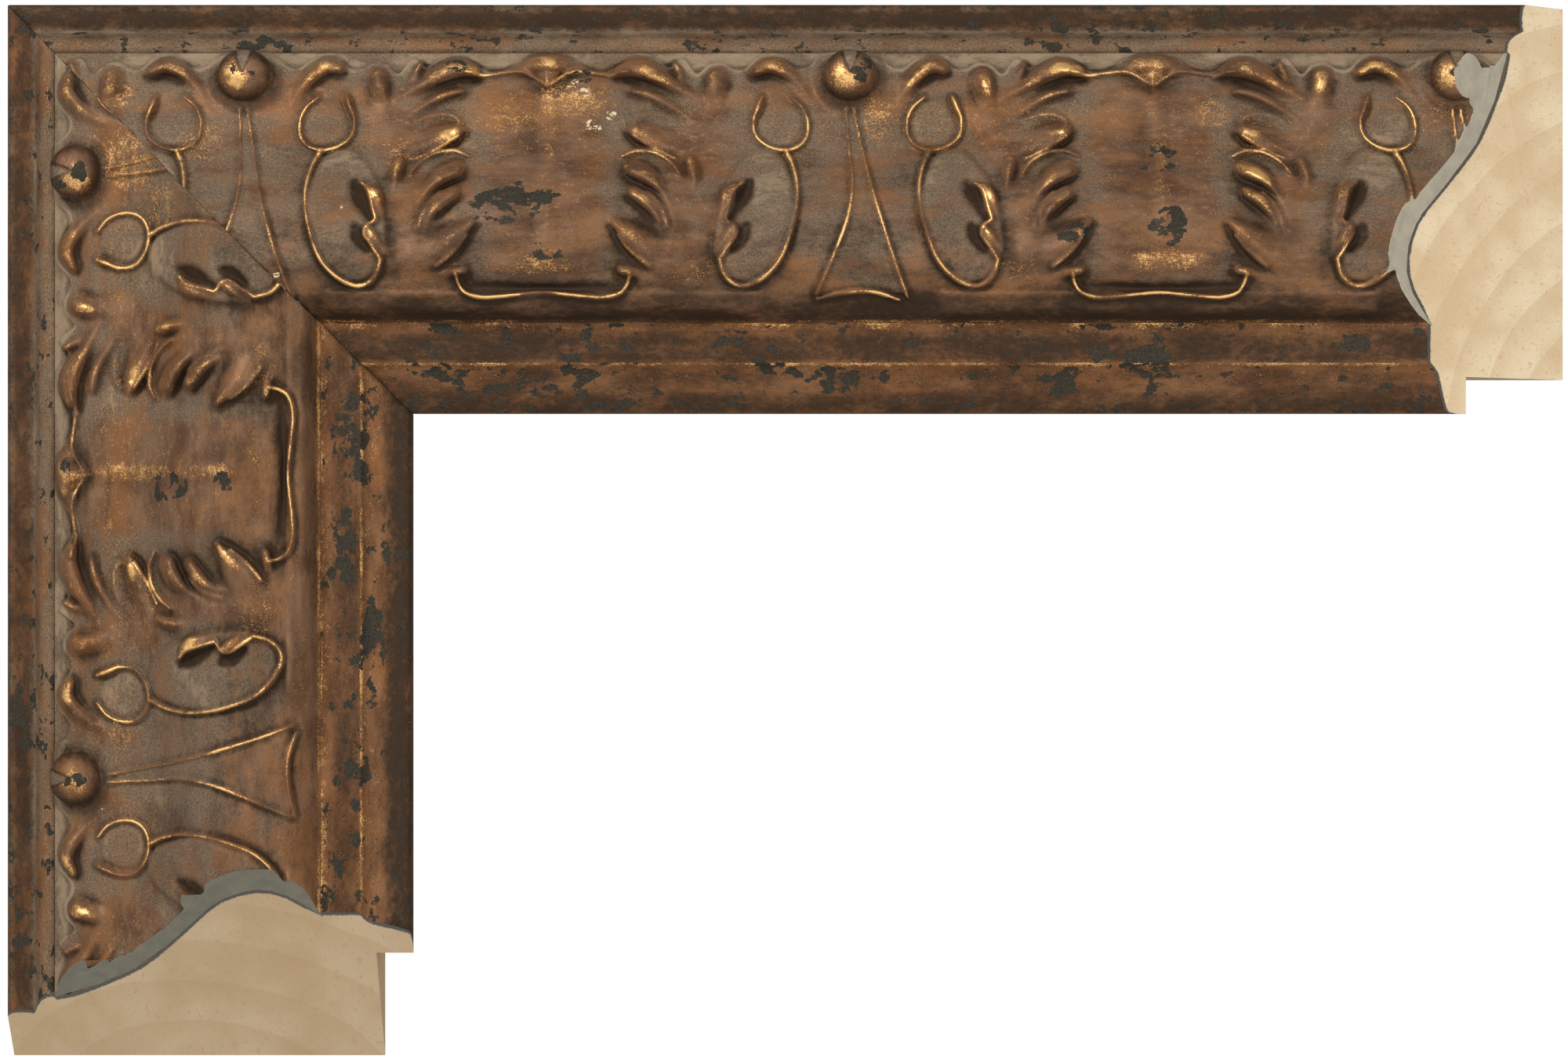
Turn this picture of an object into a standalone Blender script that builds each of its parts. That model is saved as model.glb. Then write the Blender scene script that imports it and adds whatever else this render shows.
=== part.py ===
"""Mitred corner of a picture frame moulding: two lengths of moulded timber with a rabbet behind the
sight edge, each carrying a pressed composition ornament laid over its hump.

Each rail is worked out in its own axes, in millimetres: "along" runs with the moulding, "across" is
the distance inwards from the outer side, and "height" is the distance forwards from the flat back.
The object itself is in metres, hangs with its face towards -Y, and has its origin on the back of
the top rail, where a hanger would hold it in balance."""

import math

import bmesh
import bpy
import numpy as np
from mathutils import Matrix, Vector

MM = 0.001

# Driving dimensions of the sample
TOP_LENGTH = 289.7        # top rail, outer corner to the sawn end, measured at the back
SIDE_LENGTH = 195.7       # side rail, likewise
FACE_WIDTH = 76.2         # three inches, outer side to sight edge
GAP = 0.3                 # between pieces that touch
HANG_ALONG = 111.5        # origin: distance from the outer corner along the top rail
HANG_ACROSS = 35.0        # and down from its top

# Timber profile
FILLET_HEIGHT = 9.3       # the low outer fillet
FILLET_ROUND = 1.0
RISER_FOOT = 5.2          # the step from the fillet up to the bed of the ornament
RISER_HEAD = 7.4
LEDGE_HEIGHT = 12.6
BED_OUTER = 9.3           # the ornament lies between these two
BED_INNER = 60.1
FLAT_HEIGHT = 28.9        # the flat between the ornament and the sight edge
FLAT_INNER = 67.2
SIGHT_HEIGHT = 25.3
RABBET_WIDTH = 6.8
RABBET_DEPTH = 20.9
OGEE = [(9.3, 12.0), (13.5, 12.9), (18.7, 14.9), (26.0, 18.3), (32.0, 22.9), (37.0, 27.3),
        (42.0, 31.3), (48.5, 33.3), (54.0, 32.2), (60.1, 28.1)]
COVE = [(FLAT_INNER, FLAT_HEIGHT), (67.8, 28.0), (69.4, 27.0), (72.7, 25.8), (FACE_WIDTH, SIGHT_HEIGHT)]

# Ornament: its two edges, the ground that the motifs rise from, and the repeat along the rail
STRIP_OUTER = 9.6
STRIP_INNER = 59.8
GROUND = [(9.0, 12.4), (10.2, 13.6), (12.0, 15.1), (16.0, 17.1), (20.0, 18.6), (25.0, 20.8), (29.0, 23.3),
          (33.0, 26.9), (37.0, 30.6), (41.0, 33.4), (45.0, 35.0), (49.0, 35.4), (53.0, 34.2),
          (56.0, 32.3), (58.0, 30.6), (60.0, 28.7)]
REPEAT = 111.1            # from ball to ball
HALF = REPEAT / 2
TOP_FIRST_BALL = 45.0     # distance of the first ball from the outer corner
SIDE_FIRST_BALL = 31.8
SCROLL_SHIFT = 2.7        # the scroll left of a ball sits this much nearer to it than the right one
BALL_RADIUS = 5.1
BALL_ACROSS = 14.2
BALL_HEIGHT = 18.4        # of its centre
BALL_COLLAR = 1.7         # the ground swells this much round the foot of a ball
BALL_COLLAR_WIDTH = 2.5
GRID_STEP = 0.62          # spacing of the points that the relief is worked out on
STRIP_SHARE = 0.081       # share of the triangles kept, the flattest going first

# Motifs, as strokes from root to head: (along from the ball, across, half the width). A finger or
# lobe has its height and its fullness first: a low fullness gives a flat top with steep sides.
LEAF_FINGERS = [
    (3.3, 0.7, [(27.6, 18.4, 0.9), (31.5, 16.0, 1.5), (35.0, 13.9, 2.0), (38.6, 12.4, 2.3),
                (41.8, 12.9, 1.5)]),
    (1.7, 0.7, [(26.5, 24.0, 0.5), (30.3, 21.2, 0.8), (33.8, 18.9, 1.0), (37.0, 17.4, 1.0),
                (39.8, 16.8, 0.7)]),
    (2.4, 0.6, [(28.6, 28.4, 1.0), (31.8, 27.0, 1.9), (35.0, 25.8, 2.4), (38.0, 24.8, 2.0),
                (39.6, 24.2, 1.3)]),
    (3.1, 0.7, [(33.0, 37.6, 0.8), (34.6, 35.2, 1.3), (36.8, 33.0, 2.0), (39.2, 31.8, 2.0)]),
    (3.2, 0.7, [(34.0, 43.2, 0.7), (34.8, 40.6, 1.1), (36.6, 38.0, 1.7), (39.0, 36.3, 1.5)]),
    (3.2, 0.6, [(32.5, 48.8, 2.8), (36.0, 46.8, 3.2), (39.4, 44.3, 2.4), (42.6, 41.9, 0.9)]),
    (2.3, 0.7, [(37.2, 51.6, 0.9), (39.3, 50.9, 1.1), (41.2, 50.6, 1.0)]),
    (1.8, 0.7, [(30.4, 16.0, 0.5), (31.2, 13.4, 0.8), (32.2, 11.4, 0.7)]),
    (2.7, 0.7, [(25.6, 20.0, 1.2), (24.8, 17.0, 1.9), (24.2, 14.4, 2.2)]),
    (2.7, 0.7, [(28.3, 35.4, 0.6), (28.3, 32.8, 1.2), (29.0, 30.2, 1.1)]),
]
SCROLL_LOBES = [
    (2.9, 0.6, [(25.6, 41.6, 0.6), (25.2, 39.0, 1.4), (24.6, 36.8, 1.7), (23.4, 35.2, 1.2)]),
    (2.9, 0.6, [(26.6, 48.6, 0.6), (25.5, 46.2, 1.3), (24.4, 44.4, 1.5), (23.7, 43.0, 1.0)]),
    (1.7, 0.7, [(20.4, 22.8, 0.5), (19.8, 20.8, 0.8), (19.2, 18.9, 0.9)]),
]
LOBE_HOLLOWS = [[(21.0, 34.4, 0.6), (21.9, 36.8, 1.3), (23.2, 39.4, 0.8), (24.6, 41.4, 0.3)],
                [(21.6, 42.6, 0.5), (22.2, 44.6, 1.0), (23.8, 46.8, 0.5)]]
COMMA_RIGHT = (2.7, 0.7, [(8.8, 19.4, 0.6), (10.0, 16.6, 1.4), (12.2, 13.8, 1.7), (14.8, 11.9, 1.9),
                          (17.0, 12.3, 1.5)])
COMMA_LEFT = (2.7, 0.7, [(7.4, 17.8, 0.6), (9.6, 14.8, 1.2), (12.0, 12.7, 1.7), (14.8, 11.9, 1.7),
                         (17.4, 13.2, 1.0)])
CREST = (3.6, 0.7, [(48.2, 12.9, 0.4), (50.8, 12.3, 1.2), (53.2, 11.7, 2.1), (HALF, 11.6, 2.7),
                    (57.9, 11.7, 2.1)])
LOOP = [(18.8, 18.0, 0.6), (20.4, 22.4, 0.6), (19.9, 25.4, 0.6), (17.6, 27.4, 0.6), (14.6, 28.1, 0.6),
        (11.9, 27.2, 0.6), (10.5, 25.0, 0.6), (10.5, 22.2, 0.6), (11.6, 19.8, 0.5), (13.6, 18.1, 0.4)]
SCROLL = [(14.4, 28.4, 0.7), (13.2, 31.0, 0.6), (12.4, 35.0, 0.6), (12.6, 39.5, 0.6), (13.6, 44.0, 0.6),
          (15.3, 48.4, 0.6), (18.0, 51.6, 0.7), (21.0, 53.3, 0.7), (23.6, 53.2, 0.7), (25.6, 51.4, 0.6),
          (26.4, 48.8, 0.6)]
RIM = [(39.9, 51.4, 0.6), (40.4, 53.2, 0.7), (41.8, 54.8, 0.7), (44.6, 55.5, 0.7), (48.5, 55.3, 0.6),
       (52.0, 54.9, 0.6), (HALF, 54.6, 0.6)]
LIPS = [[(31.2, 32.6, 0.5), (33.0, 30.2, 0.6), (35.8, 28.6, 0.7), (38.8, 28.2, 0.6), (41.6, 29.4, 0.5)],
        [(40.6, 13.4, 0.6), (44.0, 13.9, 0.6), (47.0, 13.5, 0.6), (50.3, 13.3, 0.6), (53.0, 14.2, 0.6),
         (HALF, 16.0, 0.6)]]
DART_RIGHT = [(0.7, 20.5, 0.4), (2.2, 28.0, 0.5), (4.0, 36.0, 0.6), (6.0, 43.0, 0.6), (8.0, 49.5, 0.6),
              (10.2, 55.4, 0.6)]
DART_LEFT = [(-0.7, 20.5, 0.4), (0.3, 34.0, 0.6), (-0.4, 40.0, 0.6), (-2.6, 46.5, 0.6), (-6.2, 54.8, 0.6)]
DART_FOOT = [(-6.2, 55.7, 0.5), (-2.5, 54.9, 0.6), (2.2, 54.4, 0.7), (5.6, 54.9, 0.6), (8.8, 55.9, 0.5)]
LEAF_BODY = [(24.6, 16.4, 1.0), (25.4, 20.6, 2.4), (27.4, 25.6, 3.2), (30.2, 31.0, 2.0), (31.8, 37.0, 1.8),
             (32.4, 43.0, 2.2), (32.4, 49.0, 4.0), (32.0, 59.0, 9.6)]
SCROLL_DISH = [(18.8, 32.6, 4.6), (19.4, 37.0, 6.5), (20.2, 42.0, 7.0), (21.2, 46.4, 6.5)]
WIRE_HEIGHT = 1.0
DISH_HEIGHT = 1.6
DISH_EDGE = 1.2
BODY_HEIGHT = 1.2
BODY_EDGE = 7.5
HOLLOW_DEPTH = 1.1
CARTOUCHE = {"across": 33.8, "half_length": 19.0, "half_width": 22.0, "height": 2.2}
BEAK = {"top": 11.0, "tip": 16.8, "half_width": 5.2, "height": 3.0}
FOOT_ROLL = {"start": 13.0, "height": 1.7}


def smooth_line(points, parts=6):
    """A curve through the points, with the given number of steps from each to the next."""
    known = np.array(points, dtype=float)
    known = np.vstack([2 * known[0] - known[1], known, 2 * known[-1] - known[-2]])
    t = (np.arange(parts) / parts)[:, None]
    stretches = []
    for k in range(1, len(known) - 2):
        a, b, c, d = known[k - 1:k + 3]
        bend = (2 * a - 5 * b + 4 * c - d) * t ** 2 + (3 * b - a - 3 * c + d) * t ** 3
        stretches.append(0.5 * (2 * b + (c - a) * t + bend))
    return np.vstack(stretches + [known[-2:-1]])


def ease(x):
    """Rises smoothly from 0 to 1 as x does."""
    x = np.clip(x, 0.0, 1.0)
    return x * x * (3.0 - 2.0 * x)


def rise(relief, form, blend=0.35):
    """The higher of two forms, with a small fillet where they meet."""
    share = np.clip(0.5 + 0.5 * (form - relief) / blend, 0.0, 1.0)
    return relief + (form - relief) * share + blend * share * (1.0 - share)


def distance_past(along, across, stroke):
    """How far each place is outside a stroke's edge (inside is negative), with its half width and
    its place from root (0) to head (1)."""
    line = smooth_line(stroke)
    outside = np.full(along.shape, 1e6)
    half_width = np.ones(along.shape)
    place = np.zeros(along.shape)
    for k, (start, end) in enumerate(zip(line[:-1], line[1:])):
        step = end[:2] - start[:2]
        t = ((along - start[0]) * step[0] + (across - start[1]) * step[1]) / (step @ step)
        t = np.clip(t, 0.0, 1.0)
        width = start[2] + (end[2] - start[2]) * t
        gap = np.hypot(along - start[0] - t * step[0], across - start[1] - t * step[1]) - width
        nearer = gap < outside
        outside = np.where(nearer, gap, outside)
        half_width = np.where(nearer, width, half_width)
        place = np.where(nearer, (k + t) / (len(line) - 1), place)
    return outside, half_width, place


def add_finger(relief, along, across, height, fullness, stroke):
    """A rounded finger or lobe that swells and rises towards its head."""
    outside, half_width, place = distance_past(along, across, stroke)
    swell = 0.4 + 0.6 * ease(place * 1.5)
    dome = np.clip(1.0 - (1.0 + outside / half_width) ** 2, 0.0, 1.0) ** fullness
    return rise(relief, height * swell * dome)


def add_wire(relief, along, across, stroke, height=WIRE_HEIGHT):
    """A thin raised line laid on whatever is there."""
    outside, half_width, _ = distance_past(along, across, stroke)
    return relief + height * np.exp(-1.1 * ((outside + half_width) / half_width) ** 2)


def add_plateau(relief, along, across, stroke, height, edge):
    """A broad raised area with sloping sides."""
    outside, _, _ = distance_past(along, across, stroke)
    return rise(relief, height * ease(0.5 - outside / edge))


def add_beak(relief, from_middle, across):
    """The pointed drop in the middle of the crest."""
    from_tip = (BEAK["tip"] - across) / (BEAK["tip"] - BEAK["top"])
    half_width = BEAK["half_width"] * np.clip(from_tip, 0.08, 1.0)
    ridge = np.clip(1.0 - np.abs(from_middle) / half_width, 0.0, 1.0) ** 0.6
    ends = ease((across - BEAK["top"]) / 1.5) * ease((BEAK["tip"] - across) / 0.8)
    return rise(relief, BEAK["height"] * ridge * ends)


def add_dart(relief, side, across):
    """The tapering dart under a ball: a flat panel between two wires that spread to a curved foot."""
    left = np.interp(across, [p[1] for p in DART_LEFT], [p[0] for p in DART_LEFT])
    right = np.interp(across, [p[1] for p in DART_RIGHT], [p[0] for p in DART_RIGHT])
    panel = ease(side - left) * ease(right - side) * ease((across - 20.5) / 2) * ease(55.3 - across)
    relief = relief + 0.45 * panel
    for stroke in (DART_LEFT, DART_RIGHT, DART_FOOT):
        relief = add_wire(relief, side, across, stroke)
    return relief


def motif_relief(side, across):
    """Height of the carving over its ground. The place along is counted from the nearest ball,
    and is negative on its left."""
    on_left = side < 0
    along = np.abs(side)
    scroll_along = along + np.where(on_left, SCROLL_SHIFT, 0.0)
    from_middle = HALF - along
    reach = (np.abs(from_middle) / CARTOUCHE["half_length"]) ** 3
    reach = reach + (np.abs(across - CARTOUCHE["across"]) / CARTOUCHE["half_width"]) ** 4
    relief = CARTOUCHE["height"] * np.clip(1.0 - reach, 0.0, 1.0) ** 0.8
    relief = add_plateau(relief, scroll_along, across, SCROLL_DISH, DISH_HEIGHT, DISH_EDGE)
    relief = add_plateau(relief, along, across, LEAF_BODY, BODY_HEIGHT, BODY_EDGE)
    roll = ease((along - FOOT_ROLL["start"]) / 5) * ease((across - 53.2) / 1.6) * ease((60.3 - across) / 3.4)
    relief = rise(relief, FOOT_ROLL["height"] * roll)
    for stroke in LOBE_HOLLOWS:
        outside, _, _ = distance_past(scroll_along, across, stroke)
        relief = relief - HOLLOW_DEPTH * ease(0.6 - outside / 1.4)
    for finger in LEAF_FINGERS:
        relief = add_finger(relief, along, across, *finger)
    for lobe in SCROLL_LOBES:
        relief = add_finger(relief, scroll_along, across, *lobe)
    comma_right = add_finger(relief, along, across, *COMMA_RIGHT)
    comma_left = add_finger(relief, along, across, *COMMA_LEFT)
    relief = np.where(on_left, comma_left, comma_right)
    relief = add_finger(relief, along, across, *CREST)
    for stroke in (LOOP, SCROLL):
        relief = add_wire(relief, scroll_along, across, stroke)
    for stroke in (RIM, *LIPS):
        relief = add_wire(relief, along, across, stroke)
    relief = add_beak(relief, from_middle, across)
    return add_dart(relief, side, across)


def ornament_height(along, across, first_ball):
    """Height of the ornament's face above the back, on the grid of places given."""
    side = (along - first_ball + HALF) % REPEAT - HALF
    ground_line = smooth_line(GROUND)
    ground = np.interp(across, ground_line[:, 0], ground_line[:, 1])
    slope = np.gradient(ground_line[:, 1], ground_line[:, 0])
    lean = np.sqrt(1.0 + np.interp(across, ground_line[:, 0], slope) ** 2)
    fade = ease((across - 9.3) / 1.2) * ease((STRIP_INNER - across) / 2.0)
    height = ground + motif_relief(side, across) * lean * fade
    past_ball = np.hypot(side, across - BALL_ACROSS) - BALL_RADIUS
    height = height + BALL_COLLAR * ease(0.9 - past_ball / BALL_COLLAR_WIDTH)
    under_ball = BALL_RADIUS ** 2 - side ** 2 - (across - BALL_ACROSS) ** 2
    ball = BALL_HEIGHT + np.sqrt(np.clip(under_ball, 0.0, None))
    return np.where(under_ball > 0, np.maximum(height, ball), height)


def bed_line(lift=0.0):
    """The timber's ogee, raised square to itself."""
    line = smooth_line(OGEE, 3)
    run = np.gradient(line, axis=0)
    run /= np.linalg.norm(run, axis=1)[:, None]
    return [(across - lift * dy, height + lift * dx) for (across, height), (dx, dy) in zip(line, run)]


def timber_outline():
    """The moulding's section, from the back of the outer side round to the rabbet."""
    quarter = [math.radians(a) for a in (0, 30, 60, 90)]
    inset = FILLET_HEIGHT - FILLET_ROUND
    round_over = [(FILLET_ROUND * (1 - math.cos(a)), inset + FILLET_ROUND * math.sin(a)) for a in quarter]
    riser = [(RISER_FOOT, FILLET_HEIGHT), ((RISER_FOOT + RISER_HEAD) / 2 + 0.2, 11.4),
             (RISER_HEAD, LEDGE_HEIGHT), (BED_OUTER, LEDGE_HEIGHT + 0.1)]
    cove = [tuple(point) for point in smooth_line(COVE, 2)]
    rabbet_side = FACE_WIDTH - RABBET_WIDTH
    back = [(FACE_WIDTH, RABBET_DEPTH), (rabbet_side, RABBET_DEPTH), (rabbet_side, 0.0)]
    return [(0.0, 0.0), *round_over, *riser, *bed_line(), (BED_INNER, FLAT_HEIGHT), *cove, *back]


def new_object(name, bm, collection, place):
    """Puts a mesh built in millimetres into the scene in metres, at a rail's place."""
    bmesh.ops.scale(bm, vec=(MM, MM, MM), verts=bm.verts)
    bmesh.ops.recalc_face_normals(bm, faces=bm.faces)
    mesh = bpy.data.meshes.new(name)
    bm.to_mesh(mesh)
    bm.free()
    made = bpy.data.objects.new(name, mesh)
    collection.objects.link(made)
    made.matrix_world = place
    return made


def bar(name, outline, start, end, collection, place):
    """A straight bar of one section, from start to end along a rail."""
    bm = bmesh.new()
    section = bm.faces.new([bm.verts.new((start, -across, height)) for across, height in outline])
    grown = bmesh.ops.extrude_face_region(bm, geom=[section])["geom"]
    moved = [v for v in grown if isinstance(v, bmesh.types.BMVert)]
    bmesh.ops.translate(bm, vec=(end - start, 0.0, 0.0), verts=moved)
    return new_object(name, bm, collection, place)


def cutting_block(name, point, facing, collection, place):
    """A cutter that fills the space beyond a plane through a point, on the side the plane faces."""
    size = 400.0
    turn = Vector(facing).normalized().to_track_quat("Z", "Y").to_matrix().to_4x4()
    bm = bmesh.new()
    middle = Matrix.Translation(point) @ turn @ Matrix.Translation((0.0, 0.0, size / 2))
    bmesh.ops.create_cube(bm, size=size, matrix=middle)
    block = new_object(name, bm, collection, place)
    block.hide_render = True
    block.display_type = "WIRE"
    return block


def ornament_block(name, start, end, first_ball, collection, place):
    """The ornament before it is cut to fit: a fine grid lifted to the carving, with sides that
    run down to a flat underside inside the timber."""
    bm = bmesh.new()
    columns = round((end - start) / GRID_STEP)
    rows = round((STRIP_INNER - STRIP_OUTER) / GRID_STEP)
    middle = Matrix.Translation(((start + end) / 2, -(STRIP_INNER + STRIP_OUTER) / 2, 0.0))
    shape = Matrix.Diagonal((end - start, STRIP_INNER - STRIP_OUTER, 1.0, 1.0))
    bmesh.ops.create_grid(bm, x_segments=columns, y_segments=rows, size=0.5, matrix=middle @ shape)
    places = np.array([v.co[:] for v in bm.verts])
    heights = ornament_height(places[:, 0], -places[:, 1], first_ball)
    for vert, height in zip(bm.verts, heights):
        vert.co.z = height
    rim = [edge for edge in bm.edges if edge.is_boundary]
    skirt = bmesh.ops.extrude_edge_only(bm, edges=rim)["geom"]
    foot = [v for v in skirt if isinstance(v, bmesh.types.BMVert)]
    for vert in foot:
        vert.co.z = FILLET_HEIGHT
    bmesh.ops.contextual_create(bm, geom=[e for e in bm.edges if e.is_boundary])
    block = new_object(name, bm, collection, place)
    thin_out = block.modifiers.new("flat parts thinned out", "DECIMATE")
    thin_out.ratio = STRIP_SHARE
    return block


def cut(piece, cutter):
    """Takes a cutter's space away from a piece."""
    difference = piece.modifiers.new(cutter.name, "BOOLEAN")
    difference.operation = "DIFFERENCE"
    difference.solver = "EXACT"
    difference.object = cutter


def paint(piece, name, color, roughness, metallic=0.0):
    """Gives a piece its own plain material."""
    material = bpy.data.materials.new(name)
    material.use_nodes = True
    shader = material.node_tree.nodes["Principled BSDF"]
    shader.inputs["Base Color"].default_value = (*color, 1.0)
    shader.inputs["Roughness"].default_value = roughness
    shader.inputs["Metallic"].default_value = metallic
    material.diffuse_color = (*color, 1.0)
    piece.data.materials.append(material)


def make_rail(name, start, end, mitre_faces, sawn_point, sawn_faces, first_ball, place, parts, cutters):
    """One rail: its timber and its ornament, both cut on the mitre and at the sawn end."""
    timber = bar(f"{name}_timber", timber_outline(), start, end, parts, place)
    ornament = ornament_block(f"{name}_ornament", start, end, first_ball, parts, place)
    bed = [*bed_line(GAP), (BED_INNER + 4.0, FLAT_HEIGHT), (BED_INNER + 4.0, 0.0), (BED_OUTER - 4.0, 0.0),
           (BED_OUTER - 4.0, LEDGE_HEIGHT)]
    bed_cutter = bar(f"{name}_bed_cutter", bed, start - 2.0, end + 2.0, cutters, place)
    bed_cutter.hide_render = True
    bed_cutter.display_type = "WIRE"
    half_gap = Vector(mitre_faces).normalized() * (-GAP / 2)
    mitre_cutter = cutting_block(f"{name}_mitre_cutter", half_gap, mitre_faces, cutters, place)
    saw_cutter = cutting_block(f"{name}_saw_cutter", sawn_point, sawn_faces, cutters, place)
    cut(ornament, bed_cutter)
    for piece in (timber, ornament):
        cut(piece, mitre_cutter)
        cut(piece, saw_cutter)
    paint(timber, f"{name}_softwood", (0.66, 0.50, 0.33), 0.62)
    paint(ornament, f"{name}_bronzed_composition", (0.23, 0.13, 0.07), 0.42, 0.35)


def main():
    for old in list(bpy.data.objects):
        bpy.data.objects.remove(old, do_unlink=True)
    parts = bpy.data.collections.new("picture_frame_moulding")
    cutters = bpy.data.collections.new("cutters")
    bpy.context.scene.collection.children.link(parts)
    bpy.context.scene.collection.children.link(cutters)
    corner = Matrix.Translation((-HANG_ALONG * MM, 0.0, HANG_ACROSS * MM))
    face_forward = corner @ Matrix.Rotation(math.radians(90), 4, "X")
    turned_up = face_forward @ Matrix.Rotation(math.radians(90), 4, "Z")
    margin = 3.0
    make_rail("top_rail", -margin, TOP_LENGTH + margin, (-1.0, -1.0, 0.0),
              (TOP_LENGTH, 0.0, 0.0), (1.0, 0.0, 1.0), TOP_FIRST_BALL, face_forward, parts, cutters)
    make_rail("side_rail", -SIDE_LENGTH - margin, margin, (1.0, -1.0, 0.0),
              (-SIDE_LENGTH, 0.0, 0.0), (-1.0, 0.0, 1.0), -SIDE_FIRST_BALL, turned_up, parts, cutters)


main()
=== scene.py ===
import math

import bpy
import numpy as np
from mathutils import Matrix, Vector


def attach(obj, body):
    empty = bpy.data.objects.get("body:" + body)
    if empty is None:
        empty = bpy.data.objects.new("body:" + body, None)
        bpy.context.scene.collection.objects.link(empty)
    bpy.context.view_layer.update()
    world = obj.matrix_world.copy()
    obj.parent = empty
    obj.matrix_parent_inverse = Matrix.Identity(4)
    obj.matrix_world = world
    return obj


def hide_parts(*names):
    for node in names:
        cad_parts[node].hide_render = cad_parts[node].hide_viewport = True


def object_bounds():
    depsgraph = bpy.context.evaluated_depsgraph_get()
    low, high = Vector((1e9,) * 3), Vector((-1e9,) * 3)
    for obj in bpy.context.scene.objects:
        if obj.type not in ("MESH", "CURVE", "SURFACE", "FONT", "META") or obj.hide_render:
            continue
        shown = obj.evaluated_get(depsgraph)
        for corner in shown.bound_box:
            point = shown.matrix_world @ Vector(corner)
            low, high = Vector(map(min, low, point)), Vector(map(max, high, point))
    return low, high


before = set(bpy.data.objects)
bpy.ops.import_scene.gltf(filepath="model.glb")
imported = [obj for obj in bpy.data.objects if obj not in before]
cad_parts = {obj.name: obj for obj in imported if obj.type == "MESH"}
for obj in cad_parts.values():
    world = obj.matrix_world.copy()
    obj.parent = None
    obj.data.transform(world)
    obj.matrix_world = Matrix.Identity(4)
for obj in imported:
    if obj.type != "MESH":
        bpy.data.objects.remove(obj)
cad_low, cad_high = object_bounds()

# Top rail timber.
# A length of pale softwood, moulded to the profile, mitred at the corner and sawn on a slant at
# its free end. Its face is sized with a dark ground and rubbed with bronze; the back stays bare.
MM = 0.001
corner = Vector((cad_low[0], 0.0, cad_high[2]))
TOP_LENGTH = (cad_high[0] - cad_low[0]) / MM
FACE_WIDTH = 76.2
LEDGE_END = 9.3           # the ornament begins here, by the distance inwards from the outer side
FLAT_START = 60.1         # and ends here, where the flat begins
ARRIS = 67.3              # the worn edge between the flat and the cove
SAW_WASTE = 2.0           # each piece is made this much too long and then cut
RING_SPACING = 4.5        # along the bar, before each space is divided by three to carry dents
JOINT_GAP = 0.04          # each rail stops this short of the mitre
GROUND_COAT = 0.65        # width of the dark line that the ground shows on a sawn end
OUTER_SIDE = [(0.0, 0.0), (0.0, 3.0), (0.0, 6.0), (0.0, 8.2)]
FILLET = [(0.12, 8.75), (0.5, 9.15), (1.1, 9.32), (2.0, 9.42), (3.0, 9.44), (4.0, 9.36), (4.8, 9.2),
          (5.15, 9.35), (5.4, 9.9), (5.8, 10.7), (6.3, 11.4), (6.9, 12.0), (7.5, 12.4), (8.2, 12.6),
          (9.2, 12.7), (9.3, 12.0)]
BED = [(9.3, 12.0), (13.5, 12.9), (18.7, 14.9), (26.0, 18.3), (32.0, 22.9), (37.0, 27.3),
       (42.0, 31.3), (48.5, 33.3), (54.0, 32.2), (60.1, 28.1)]
FLAT = [(60.12, 28.75), (60.3, 28.9), (61.5, 28.92), (63.0, 28.9), (64.5, 28.9), (66.3, 28.92),
        (66.9, 28.88), (67.2, 28.75), (67.4, 28.5)]
LIP = [(67.6, 28.22), (67.9, 27.93), (68.4, 27.58), (69.2, 27.15), (70.6, 26.8), (72.0, 26.45),
       (73.4, 26.05), (74.6, 25.7), (75.5, 25.4), (75.95, 25.0), (76.15, 24.5), (76.2, 23.5)]
RABBET = [(76.2, 20.9), (72.8, 20.9), (69.4, 20.9), (69.4, 14.0), (69.4, 7.0), (69.4, 0.0)]
BACK = [(58.0, 0.0), (46.0, 0.0), (34.0, 0.0), (22.0, 0.0), (10.0, 0.0)]


def smooth_line(points, parts=6):
    """A curve through the points, in the given number of steps from each to the next."""
    known = np.array(points, dtype=float)
    known = np.vstack([2 * known[0] - known[1], known, 2 * known[-1] - known[-2]])
    t = (np.arange(parts) / parts)[:, None]
    stretches = []
    for k in range(1, len(known) - 2):
        a, b, c, d = known[k - 1:k + 3]
        bend = (2 * a - 5 * b + 4 * c - d) * t ** 2 + (3 * b - a - 3 * c + d) * t ** 3
        stretches.append(0.5 * (2 * b + (c - a) * t + bend))
    return np.vstack(stretches + [known[-2:-1]])


def ease(x):
    """Rises smoothly from 0 to 1 as x does."""
    x = np.clip(x, 0.0, 1.0)
    return x * x * (3.0 - 2.0 * x)


def hump(x, middle, width, power=2):
    """A bell of height 1 about the middle; a power of 4 gives it a flat top."""
    return np.exp(-((x - middle) / width) ** power)


def soft_noise(x, y, size, seed):
    """Smooth random hills and hollows, about one unit high, of the given size."""
    lattice = np.random.default_rng(seed).uniform(-1.0, 1.0, (97, 89))
    x, y = np.asarray(x) / size, np.asarray(y) / size
    column, row = np.floor(x).astype(int), np.floor(y).astype(int)
    across, up = ease(x - column), ease(y - row)
    column, row = column % 97, row % 89
    right, above = (column + 1) % 97, (row + 1) % 89
    low = lattice[column, row] * (1 - across) + lattice[right, row] * across
    high = lattice[column, above] * (1 - across) + lattice[right, above] * across
    return low * (1 - up) + high * up


def start_piece(add, name, **settings):
    """Adds a primitive on its own and names it."""
    bpy.ops.object.select_all(action="DESELECT")
    add(**settings)
    piece = bpy.context.object
    piece.name = piece.data.name = name
    return piece


def coordinates(piece):
    """The piece's points as rows of x, y and z."""
    points = np.empty(len(piece.data.vertices) * 3)
    piece.data.vertices.foreach_get("co", points)
    return points.reshape(-1, 3)


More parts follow.
